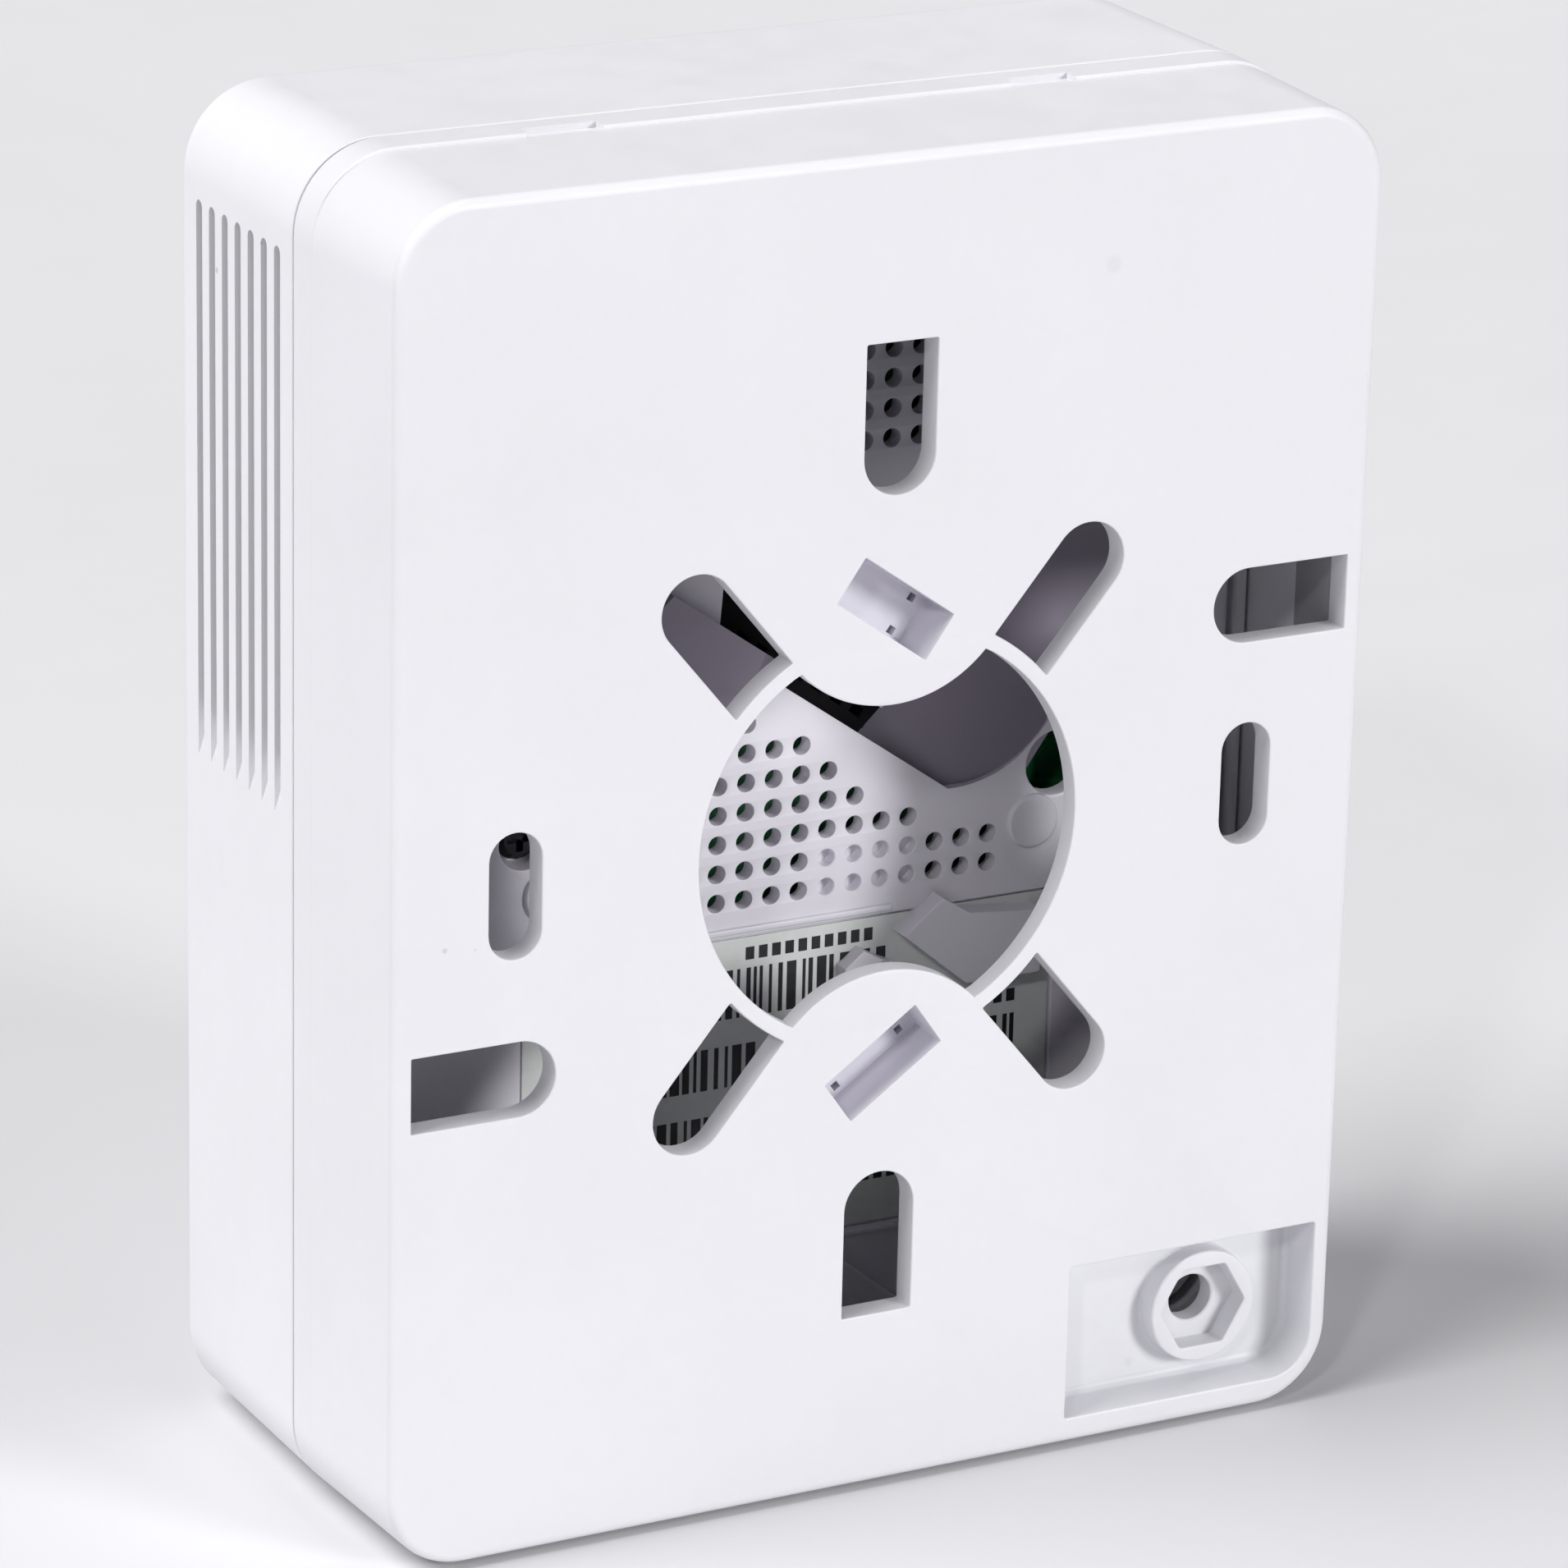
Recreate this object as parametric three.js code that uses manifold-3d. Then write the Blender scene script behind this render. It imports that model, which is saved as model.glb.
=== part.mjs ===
// Wall-mounted smoke detector: rear mounting base, lift-off front unit with
// vented cover, optical chamber, sounder, back-up cell, radio board and button.
// Millimetres. +Z up. The wall face is the plane y = 0 and looks along +Y; the
// room side looks along -Y. The origin is the centre of the wall face.
import * as THREE from 'three';
import { mergeVertices } from 'three/addons/utils/BufferGeometryUtils.js';
import Module from 'manifold-3d';

const wasm = await Module();
wasm.setup();

// ------------------------------------------------------------ dimensions
const GAP = 0.3;            // clearance between separate pieces
const BACK_HX = 55.15;      // half width of the wall face
const BACK_HZ = 71.2;       // half height of the wall face
const CORNER_R = 8.3;       // outline corner radius at the wall face
const DRAFT = 0.034;        // outward draft of the base walls, mm per mm
const EDGE_R = 1.0;         // rounding of the wall-face edge
const PLATE_T = 3.0;        // thickness of the base's wall plate
const WALL_T = 2.2;         // thickness of side walls
const SEAM_Y = -22.2;       // front rim of the base
const BAND_Y = -18.0;       // rear edge of the raised rim band
const BAND_H = 0.3;         // how far the band stands proud at the top
const FRONT_Y = -51.6;      // front face
const FRONT_R = 3.0;        // rounding of the front edge
const FRONT_T = 2.3;        // thickness of the front wall

const HOLE_R = 21.55;       // central cable opening
const LOBE_R = 14.4;        // lobes that reach into the opening
const LOBE_Z = 28.65;       // lobe centre height, above and below
const SLOT_R = 4.0;         // half width of the screw slots
const VSLOT_TIP = 40.3, VSLOT_END = 52.1;   // vertical slots: arc centre, flat end
const HSLOT_Z = 19.45, HSLOT_TIP = 41.2, HSLOT_END = 53.0;
const OB_X = 41.8, OB_R = 2.9, OB_HALF = 3.75;      // small upright obrounds
const DIAG_A = 50.3 * Math.PI / 180, DIAG_C = 34.7, DIAG_R = 4.03, DIAG_IN = 23.2;
const KEY_A = 35.2 * Math.PI / 180, KEY_Z = 24.35, KEY_HL = 6.25, KEY_HW = 2.7, KEY_D = 5.4;
const SUP = { x: -1.1, z: 10.6 };
const POCKET = { x0: -53.1, x1: -23.1, z0: -68.4, z1: -51.1, r: 5.0, d: 5.5 };
const NUT = { x: -41.4, z: -59.9, od: 12.6, face: 3.0, af: 9.0, floor: 5.7, hole: 5.2 };

const PANEL_Y = -20.3;      // rear face of the front unit
const PITCH = 3.2, PERF_R = 1.0, PERF_X0 = -0.55, PERF_Z0 = 3.5;
const VENT = { n: 7, y0: -26.1, pitch: 3.22, w: 1.5, z0: 5.0, z1: 61.2 };
const BTN = { x: 0, z: -8, r: 15.6, travel: 0.8 };
const CH = { x: 0, z: 33, r: 24 };              // optical chamber centre
const SND = { x: 24, z: -40, r: 17 };           // sounder centre
const BAT = { x: -27, z: -38, r: 8.4, len: 34.2, y: -39.2 };
const PCB_Y = -27.0, PCB_T = 1.6;
const BOARD_SCREWS = [[40, -58], [-40, -58], [42, 10], [-42, 10]];
const HOUSING_SCREWS = [[31, -2.6], [44, 60], [-44, 60], [0, -63]];

// ------------------------------------------------------------ helpers
function indexed(geom) {
  let g = geom.clone();
  for (const k of Object.keys(g.attributes)) if (k !== 'position') g.deleteAttribute(k);
  g = mergeVertices(g, 1e-4);
  const p = g.attributes.position, ix = g.index.array;
  let v = 0;
  for (let i = 0; i < ix.length; i += 3) {
    const [a, b, c] = [ix[i], ix[i + 1], ix[i + 2]];
    const A = [p.getX(a), p.getY(a), p.getZ(a)], B = [p.getX(b), p.getY(b), p.getZ(b)], C = [p.getX(c), p.getY(c), p.getZ(c)];
    v += A[0] * (B[1] * C[2] - B[2] * C[1]) - A[1] * (B[0] * C[2] - B[2] * C[0]) + A[2] * (B[0] * C[1] - B[1] * C[0]);
  }
  const tri = [];
  for (let i = 0; i < ix.length; i += 3) {
    const [a, b, c] = [ix[i], ix[i + 1], ix[i + 2]];
    if (a === b || b === c || a === c) continue;
    if (v < 0) tri.push(a, c, b); else tri.push(a, b, c);
  }
  g.setIndex(tri);
  return g;
}
function solid(geom) {
  const g = indexed(geom);
  return new wasm.Manifold(new wasm.Mesh({
    numProp: 3,
    vertProperties: new Float32Array(g.attributes.position.array),
    triVerts: new Uint32Array(g.index.array),
  }));
}
function toGeometry(man) {
  const m = man.getMesh();
  const g = new THREE.BufferGeometry();
  const n = m.numProp, vp = m.vertProperties;
  const pos = new Float32Array(vp.length / n * 3);
  for (let i = 0; i < vp.length / n; i++) { pos[3 * i] = vp[n * i]; pos[3 * i + 1] = vp[n * i + 1]; pos[3 * i + 2] = vp[n * i + 2]; }
  g.setAttribute('position', new THREE.BufferAttribute(pos, 3));
  g.setIndex(Array.from(m.triVerts));
  return g;
}
const add = (a, ...bs) => bs.reduce((s, b) => s.add(b), a);
const cut = (a, ...bs) => bs.reduce((s, b) => s.subtract(b), a);

// rounded rectangle outline in x, z; n segments in each corner
function rrect(hx, hz, r, n = 6, cx = 0, cz = 0) {
  const pts = [];
  for (const [sx, sz, a0] of [[1, 1, 0], [-1, 1, 90], [-1, -1, 180], [1, -1, 270]]) {
    for (let i = 0; i <= n; i++) {
      const a = (a0 + 90 * i / n) * Math.PI / 180;
      pts.push([cx + sx * (hx - r) + r * Math.cos(a), cz + sz * (hz - r) + r * Math.sin(a)]);
    }
  }
  return pts;
}
// closed loft through sections {y, pts} of equal point count
function loft(sections) {
  const n = sections[0].pts.length, pos = [], idx = [];
  for (const s of sections) for (const [x, z] of s.pts) pos.push(x, s.y, z);
  for (let k = 0; k < sections.length - 1; k++)
    for (let i = 0; i < n; i++) {
      const a = k * n + i, b = k * n + (i + 1) % n, c = a + n, d = b + n;
      idx.push(a, b, d, a, d, c);
    }
  const cap = (k, flip) => {
    const c = sections[k].pts.map(([x, z]) => new THREE.Vector2(x, z));
    for (const [a, b, d] of THREE.ShapeUtils.triangulateShape(c, []))
      flip ? idx.push(k * n + a, k * n + d, k * n + b) : idx.push(k * n + a, k * n + b, k * n + d);
  };
  cap(0, true); cap(sections.length - 1, false);
  const g = new THREE.BufferGeometry();
  g.setAttribute('position', new THREE.Float32BufferAttribute(pos, 3));
  g.setIndex(idx);
  return g;
}
// prism of an x, z outline between two y planes
function prism(pts, y0, y1, holes = []) {
  const s = new THREE.Shape(pts.map(([x, z]) => new THREE.Vector2(x, z)));
  for (const h of holes) s.holes.push(new THREE.Path(h.map(([x, z]) => new THREE.Vector2(x, z))));
  const g = new THREE.ExtrudeGeometry(s, { depth: Math.abs(y1 - y0), bevelEnabled: false, curveSegments: 8 });
  g.rotateX(Math.PI / 2);
  g.translate(0, Math.max(y0, y1), 0);
  return g;
}
function circlePts(x, z, r, n = 20, a0 = 0) {
  return Array.from({ length: n }, (_, i) => [x + r * Math.cos(a0 + 2 * Math.PI * i / n), z + r * Math.sin(a0 + 2 * Math.PI * i / n)]);
}
const disc = (x, z, r, y0, y1, n = 20, a0 = 0) => prism(circlePts(x, z, r, n, a0), y0, y1);
const box = (x0, x1, y0, y1, z0, z1) => {
  const g = new THREE.BoxGeometry(Math.abs(x1 - x0), Math.abs(y1 - y0), Math.abs(z1 - z0));
  g.translate((x0 + x1) / 2, (y0 + y1) / 2, (z0 + z1) / 2);
  return g;
};
const turned = (pts, a, cx, cz) => pts.map(([x, z]) => [cx + x * Math.cos(a) - z * Math.sin(a), cz + x * Math.sin(a) + z * Math.cos(a)]);
// slot with one round and one square end: centreline along +u from the arc centre
function dSlot(r, len, n = 9) {
  const p = [[len, -r], [len, r]];
  for (let i = 0; i <= n; i++) { const a = Math.PI / 2 + Math.PI * i / n; p.push([r * Math.cos(a), r * Math.sin(a)]); }
  return p;
}
function obround(r, half, n = 7) {
  const p = [];
  for (let i = 0; i <= n; i++) { const a = Math.PI * i / n; p.push([r * Math.cos(a), half + r * Math.sin(a)]); }
  for (let i = 0; i <= n; i++) { const a = Math.PI + Math.PI * i / n; p.push([r * Math.cos(a), -half + r * Math.sin(a)]); }
  return p;
}
// screw along y: head towards +Y (rear), shank towards the room; cross recess in the head
function screw(x, z, yHead, rHead, hHead, rShank, len) {
  const prof = [[0, 0], [rHead * 0.72, 0], [rHead * 0.95, -hHead * 0.35], [rHead, -hHead], [rShank, -hHead], [rShank, -len + 0.8], [rShank * 0.35, -len], [0, -len]];
  const g = new THREE.LatheGeometry(prof.map(([a, b]) => new THREE.Vector2(a, b)), 14);
  g.translate(x, yHead, z);
  let s = solid(g);
  const w = rHead * 0.16, l = rHead * 0.55, d = hHead * 0.6;
  s = cut(s, solid(box(x - w, x + w, yHead - d, yHead + 1, z - l, z + l)), solid(box(x - l, x + l, yHead - d, yHead + 1, z - w, z + w)));
  return toGeometry(s);
}

const root = new THREE.Group();
root.name = 'smoke_detector';
function node(parent, name, geom, color, roughness, metalness = 0) {
  const m = new THREE.Mesh(geom, new THREE.MeshStandardMaterial({ color, roughness, metalness }));
  m.name = name;
  parent.add(m);
  return m;
}
const baseGroup = new THREE.Group(); baseGroup.name = 'base'; root.add(baseGroup);
const unit = new THREE.Group(); unit.name = 'front_unit'; root.add(unit);
const button = new THREE.Group(); button.name = 'button'; unit.add(button);

// ------------------------------------------------------------ mounting base
{
  const hx = (y) => BACK_HX - DRAFT * y, hz = (y) => BACK_HZ - DRAFT * y, cr = (y) => CORNER_R - DRAFT * y;
  const sec = (y, inset, lift = 0) => {
    const pts = rrect(hx(y) - inset, hz(y) - inset, cr(y) - inset, 6);
    const z0 = hz(y) - 22;
    return { y, pts: pts.map(([x, z]) => [x, z > z0 ? z + lift * (z - z0) / 22 : z]) };
  };
  const outer = [];
  for (const a of [0, 30, 60, 90]) {
    const t = a * Math.PI / 180;
    outer.push(sec(-EDGE_R * (1 - Math.cos(t)), EDGE_R * (1 - Math.sin(t))));
  }
  outer.push(sec(BAND_Y, 0), sec(BAND_Y - 0.05, 0, BAND_H), sec(SEAM_Y, 0, BAND_H));
  let b = solid(loft(outer));
  // hollow behind the wall plate
  b = cut(b, solid(loft([sec(-PLATE_T, WALL_T), sec(SEAM_Y - 1, WALL_T)])));
  // solid block round the corner pocket
  const P = POCKET;
  b = add(b, solid(prism([[-60, -80], [P.x1 + 2, -80], [P.x1 + 2, P.z1 + 2], [-60, P.z1 + 2]], -2.5, -P.d - 2.5)).intersect(solid(loft([sec(-1, 0.6), sec(-12, 0.6)]))));
  // raised pads carrying the two key pockets
  for (const s of [1, -1]) {
    const pad = turned([[-KEY_HL - 1.8, -KEY_HW - 1.8], [KEY_HL + 1.8, -KEY_HW - 1.8], [KEY_HL + 1.8, KEY_HW + 1.8], [-KEY_HL - 1.8, KEY_HW + 1.8]], s * KEY_A, 0, s * KEY_Z);
    b = add(b, solid(prism(pad, -2.5, s > 0 ? -9.0 : -7.8)));
  }
  // guide ribs inside the long walls
  for (const sx of [1, -1]) for (const z of [-30, 30])
    b = add(b, solid(box(sx * 51.2, sx * (hx(-5) - 1), -2.5, -17, z - 0.8, z + 0.8)));
  // central opening with its two lobes left standing
  let hole = solid(disc(0, 0, HOLE_R, 2, -8, 48));
  for (const s of [1, -1]) hole = cut(hole, solid(disc(0, s * LOBE_Z, LOBE_R, 3, -10, 36)));
  b = cut(b, hole);
  // thinned inner edge of the ring round the opening
  let relief = solid(disc(0, 0, DIAG_IN - 0.6, -2.4, -2.99, 40));
  for (const s of [1, -1]) relief = cut(relief, solid(disc(0, s * LOBE_Z, LOBE_R + 0.6, 3, -10, 30)));
  b = cut(b, relief);
  // screw slots
  const slots = [
    turned(dSlot(SLOT_R, VSLOT_END - VSLOT_TIP), Math.PI / 2, 0, VSLOT_TIP),
    turned(dSlot(SLOT_R, VSLOT_END - VSLOT_TIP), -Math.PI / 2, 0, -VSLOT_TIP),
    turned(dSlot(SLOT_R, HSLOT_END - HSLOT_TIP), 0, HSLOT_TIP, -HSLOT_Z),
    turned(dSlot(SLOT_R, HSLOT_END - HSLOT_TIP), Math.PI, -HSLOT_TIP, HSLOT_Z),
    obround(OB_R, OB_HALF).map(([x, z]) => [x + OB_X, z]),
    obround(OB_R, OB_HALF).map(([x, z]) => [x - OB_X, z]),
  ];
  for (const s of slots) b = cut(b, solid(prism(s, 2, -12)));
  for (const [sx, sz] of [[1, 1], [-1, 1], [-1, -1], [1, -1]]) {
    const a = Math.atan2(sz * Math.sin(DIAG_A), sx * Math.cos(DIAG_A));
    const cx = DIAG_C * Math.cos(a), cz = DIAG_C * Math.sin(a);
    let s = solid(prism(turned(dSlot(DIAG_R, 18), a + Math.PI, cx, cz), 2, -12));
    s = cut(s, solid(disc(0, 0, DIAG_IN, 3, -13, 64)));
    b = cut(b, s);
  }
  // key pockets: flat-floored rectangular wells
  for (const s of [1, -1])
    b = cut(b, solid(prism(turned([[-KEY_HL, -KEY_HW], [KEY_HL, -KEY_HW], [KEY_HL, KEY_HW], [-KEY_HL, KEY_HW]], s * KEY_A, 0, s * KEY_Z), 1, -KEY_D)));
  // two small square holes through the floor of each pocket
  for (const [s, u, v] of [[1, -4.36, 2.05], [1, -4.36, -2.1], [-1, -4.4, -1.78], [-1, 4.4, -1.78]])
    b = cut(b, solid(prism(turned([[u - 0.45, v - 0.45], [u + 0.45, v - 0.45], [u + 0.45, v + 0.45], [u - 0.45, v + 0.45]], s * KEY_A, 0, s * KEY_Z), -4, -12)));
  // corner pocket with a hexagonal nut recess in a round boss
  const pk = [];
  pk.push([P.x1, P.z0], [P.x1, P.z1], [P.x0, P.z1]);
  for (let i = 0; i <= 6; i++) { const a = Math.PI + Math.PI / 2 * i / 6; pk.push([P.x0 + P.r + P.r * Math.cos(a), P.z0 + P.r + P.r * Math.sin(a)]); }
  let well = solid(prism(pk, 1, -P.d));
  well = cut(well, solid(disc(NUT.x, NUT.z, NUT.od / 2, -NUT.face, -P.d - 1, 32)));
  b = cut(b, well);
  b = cut(b, solid(disc(NUT.x, NUT.z, NUT.af / Math.sqrt(3), 1, -NUT.floor, 6)));
  b = cut(b, solid(disc(NUT.x, NUT.z, NUT.hole / 2, 1, -12, 18)));
  // recesses in the rim band where the front unit's top hooks engage
  for (const [x0, x1] of [[24.4, 32.8], [-29.0, -21.8]])
    b = cut(b, solid(box(x0, x1, BAND_Y + 0.3, BAND_Y - 2.0, hz(-20) - 0.4, hz(-20) + 2)));
  node(baseGroup, 'mounting_base', toGeometry(b), 0xe9e9ee, 0.55);
}
// prism of an (x, y) outline along z, or of a (z, y) outline along x
function loftPrismXY(pts, z0, z1) {
  const s = new THREE.Shape(pts.map(([x, y]) => new THREE.Vector2(x, y)));
  const g = new THREE.ExtrudeGeometry(s, { depth: z1 - z0, bevelEnabled: false });
  g.translate(0, 0, z0);
  return g;
}
function loftPrismZY(pts, x0, x1) {
  const s = new THREE.Shape(pts.map(([z, y]) => new THREE.Vector2(-z, y)));
  const g = new THREE.ExtrudeGeometry(s, { depth: x1 - x0, bevelEnabled: false });
  g.translate(0, 0, x0);
  g.rotateY(Math.PI / 2);
  return g;
}

// ------------------------------------------------------------ front cover
{
  const HX = BACK_HX - DRAFT * SEAM_Y, HZ = BACK_HZ - DRAFT * SEAM_Y, R = CORNER_R - DRAFT * SEAM_Y;
  const sec = (y, inset, lift = BAND_H) => {
    const z0 = HZ - 22;
    return { y, pts: rrect(HX - inset, HZ - inset, Math.max(R - inset, 0.8), 6).map(([x, z]) => [x, z > z0 ? z + lift * (z - z0) / 22 : z]) };
  };
  const y0 = SEAM_Y - GAP;
  const o = [sec(y0, 0.2), sec(y0 - 0.3, 0)];
  for (const a of [0, 22.5, 45, 67.5, 90]) {
    const t = a * Math.PI / 180;
    o.push(sec(FRONT_Y + FRONT_R * (1 - Math.sin(t)), FRONT_R * (1 - Math.cos(t))));
  }
  let c = solid(loft(o));
  c = cut(c, solid(loft([sec(y0 + 1, WALL_T, 0), sec(FRONT_Y + FRONT_T + 1.2, WALL_T, 0), sec(FRONT_Y + FRONT_T, WALL_T + 1.2, 0)])));
  // tongue that enters the base, joined to the wall by a collar
  const ring = (a, b, ya, yb) => cut(solid(loft([sec(ya, a, 0), sec(yb, a, 0)])), solid(loft([sec(ya + 1, b, 0), sec(yb - 1, b, 0)])));
  c = add(c, ring(WALL_T - 0.2, WALL_T + 1.5, y0, y0 - 2.2), ring(WALL_T + 0.5, WALL_T + 1.5, y0 + 2.6, y0 - 1.0));
  // side vents on both long sides
  for (const sx of [1, -1]) for (let i = 0; i < VENT.n; i++) {
    const y = VENT.y0 - i * VENT.pitch;
    const r = VENT.w / 2;
    const p = [[y + r, VENT.z0], [y + r, VENT.z1 - r]];
    for (const a of [45, 90, 135]) p.push([y + r * Math.cos(a * Math.PI / 180), VENT.z1 - r + r * Math.sin(a * Math.PI / 180)]);
    p.push([y - r, VENT.z1 - r], [y - r, VENT.z0]);
    const s = new THREE.Shape(p.map(([a, b]) => new THREE.Vector2(a, b)));
    const g = new THREE.ExtrudeGeometry(s, { depth: 6, bevelEnabled: false });
    // shape (y, z) extruded along x
    g.applyMatrix4(new THREE.Matrix4().makeBasis(new THREE.Vector3(0, 1, 0), new THREE.Vector3(0, 0, 1), new THREE.Vector3(1, 0, 0)));
    g.translate(sx > 0 ? HX - 4 : -HX - 2, 0, 0);
    c = cut(c, solid(g));
  }
  // button opening and light ring seat
  c = cut(c, solid(disc(BTN.x, BTN.z, BTN.r + 3.2, FRONT_Y - 1, FRONT_Y + FRONT_T + 1, 40)));
  // sounder outlets
  for (let i = -2; i <= 2; i++) c = cut(c, solid(prism(obround(0.9, 5.2 - Math.abs(i) * 1.1, 4).map(([x, z]) => [x + SND.x + i * 3.6, z + SND.z]), FRONT_Y - 1, FRONT_Y + FRONT_T + 1)));
  // screw posts for the rear housing
  for (const [x, z] of HOUSING_SCREWS) {
    c = add(c, cut(solid(disc(x, z, 3.2, FRONT_Y + 1.5, -29.2, 14)), solid(disc(x, z, 1.15, -40, -29, 10))));
  }
  node(unit, 'front_cover', toGeometry(c), 0xececf2, 0.55);
}

// ------------------------------------------------------------ rear housing
{
  let h = solid(prism(rrect(51.5, 67.6, 6, 5), PANEL_Y, PANEL_Y - 2));
  h = add(h, cut(solid(prism(rrect(50.3, 66.4, 5, 4), PANEL_Y - 1.5, -26.4)), solid(prism(rrect(48.7, 64.8, 4, 4), PANEL_Y - 1, -27))));
  // label recess and the thin rib above it
  h = cut(h, solid(box(-31.3, 31.3, PANEL_Y + 1, PANEL_Y - 0.6, -51.6, -16.5)));
  h = add(h, solid(box(-11.5, 31.3, PANEL_Y + 0.45, PANEL_Y - 1, -16.1, -15.4)));
  // raised tab beside the label
  h = add(h, solid(prism([[-12.0, -18.5], [-19.6, -24.9], [-28.5, -24.9], [-28.5, -17.9], [-19.8, -17.0], [-16.6, -14.9]].reverse(), PANEL_Y + 1.6, PANEL_Y - 1)));
  // raised round pads
  for (const sx of [1, -1]) h = add(h, solid(disc(sx * 28.2, -8.6, 3.0, PANEL_Y + 0.5, PANEL_Y - 1, 18)));
  // supply opening, set at the key angle, wider at its upper end
  h = cut(h, solid(prism(turned([[-11.3, -1.93], [12.65, -1.93], [12.65, 0], [14.9, 3.8], [5, 3.8], [3.5, 1.55], [-12.2, 1.55]], KEY_A, SUP.x, SUP.z), PANEL_Y + 1, PANEL_Y - 4)));
  // sunken ramp that runs into the lower end of the supply opening, in a tray under the panel
  h = add(h, solid(prism(turned([[-28, -3], [-11.5, -3], [-11.5, 33], [-28, 33]], KEY_A, SUP.x, SUP.z), PANEL_Y - 1.5, PANEL_Y - 4.2)));
  const ramp = loftPrismXY([[-27, PANEL_Y + 1], [-27, PANEL_Y - 0.3], [-11, PANEL_Y - 3.1], [-11, PANEL_Y + 1]], -1.93, 32);
  ramp.rotateY(-KEY_A); ramp.translate(SUP.x, 0, SUP.z);
  h = cut(h, solid(ramp));
  // wedge-shaped hood beside the upper end of the supply opening
  const hood = toGeometry(solid(loftPrismXY([[4.7, PANEL_Y - 0.7], [4.7, PANEL_Y + 0.1], [8, PANEL_Y + 3], [21, PANEL_Y + 3], [21, PANEL_Y - 0.7]], -7.6, 0)).intersect(solid(loftPrismZY([[-7.6, PANEL_Y - 0.7], [-7.6, PANEL_Y + 0.1], [0, PANEL_Y + 3], [0, PANEL_Y - 0.7]], 4.6, 21.1))));
  hood.rotateY(-KEY_A); hood.translate(SUP.x, 0, SUP.z);
  h = add(h, solid(hood));
  // screw wells and the access hole
  for (const [x, z] of HOUSING_SCREWS) {
    h = add(h, solid(disc(x, z, 3.6, PANEL_Y - 1, -28.9, 14)));
    h = cut(h, solid(disc(x, z, 2.9, PANEL_Y + 1, PANEL_Y - 3.4, 14)), solid(disc(x, z, 1.6, PANEL_Y + 1, -40, 10)));
  }
  h = cut(h, solid(disc(-31, -2.6, 3.5, PANEL_Y + 1, PANEL_Y - 4, 18)));
  // posts that take the board screws
  for (const [x, z] of BOARD_SCREWS) h = cut(add(h, solid(disc(x, z, 3.0, PANEL_Y - 1, PCB_Y + GAP, 14))), solid(disc(x, z, 1.4, -24.4, PCB_Y - 1, 10)));
  // perforations: rows follow the diagonal edge beside the supply opening
  const rows = [[-1, 2, 3], [0, 0, 4], [1, -1, 4], [2, -2, 4], [3, -4, 4], [4, -7, 4], [5, -7, 4]];
  for (const [row, k0, k1] of rows) for (let k = k0; k <= k1; k++) {
    if (row >= 4 && k <= -1 && k >= -4) continue;
    h = cut(h, solid(disc(PERF_X0 + PITCH * k, PERF_Z0 - PITCH * row, PERF_R, PANEL_Y + 1, PANEL_Y - 3, 6)));
  }
  for (let row = 10; row <= 15; row++) for (let k = -4; k <= -1; k++)
    h = cut(h, solid(disc(PERF_X0 + PITCH * k, PERF_Z0 + PITCH * row, PERF_R, PANEL_Y + 1, PANEL_Y - 3, 6)));
  node(unit, 'rear_housing', toGeometry(h), 0xd6d7dc, 0.5);
}
{
  let l = solid(box(-31.0, 31.0, PANEL_Y - 0.02, PANEL_Y - 0.3, -51.3, -16.8));
  l = cut(l, solid(box(-29, -11.6, PANEL_Y + 1, PANEL_Y - 2, -25.2, -10)));
  node(unit, 'rating_label', toGeometry(l), 0xc4c8c4, 0.6);
}

// ------------------------------------------------------------ circuit board and what it carries
{
  let p = solid(prism(rrect(47.5, 63.6, 3, 2), PCB_Y, PCB_Y - PCB_T));
  for (const [x, z] of HOUSING_SCREWS) p = cut(p, solid(disc(x, z, 4.0, PCB_Y + 1, PCB_Y - 3, 14)));
  for (const [x, z] of BOARD_SCREWS) p = cut(p, solid(disc(x, z, 1.5, PCB_Y + 1, PCB_Y - 3, 10)));
  node(unit, 'main_circuit_board', toGeometry(p), 0x1f6b3a, 0.45);
}
const PF = PCB_Y - PCB_T - GAP;    // front side of the board, with clearance
{
  // four posts inside the housing take the board screws; the heads sit on the board's front
  let i = 1;
  for (const [x, z] of BOARD_SCREWS) {
    const g = screw(0, 0, 0, 2.4, 1.6, 1.1, 5.4);
    g.rotateX(Math.PI);
    g.translate(x, PF - 1.6, z);
    node(unit, 'board_screw_' + i++, g, 0xb0b0b4, 0.35, 1);
  }
  i = 1;
  for (const [x, z] of HOUSING_SCREWS)
    node(unit, 'housing_screw_' + i++, screw(x, z, PANEL_Y - 1.4, 2.5, 1.7, 0.95, 14), 0x1c1c1f, 0.4, 0.8);
}

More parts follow.
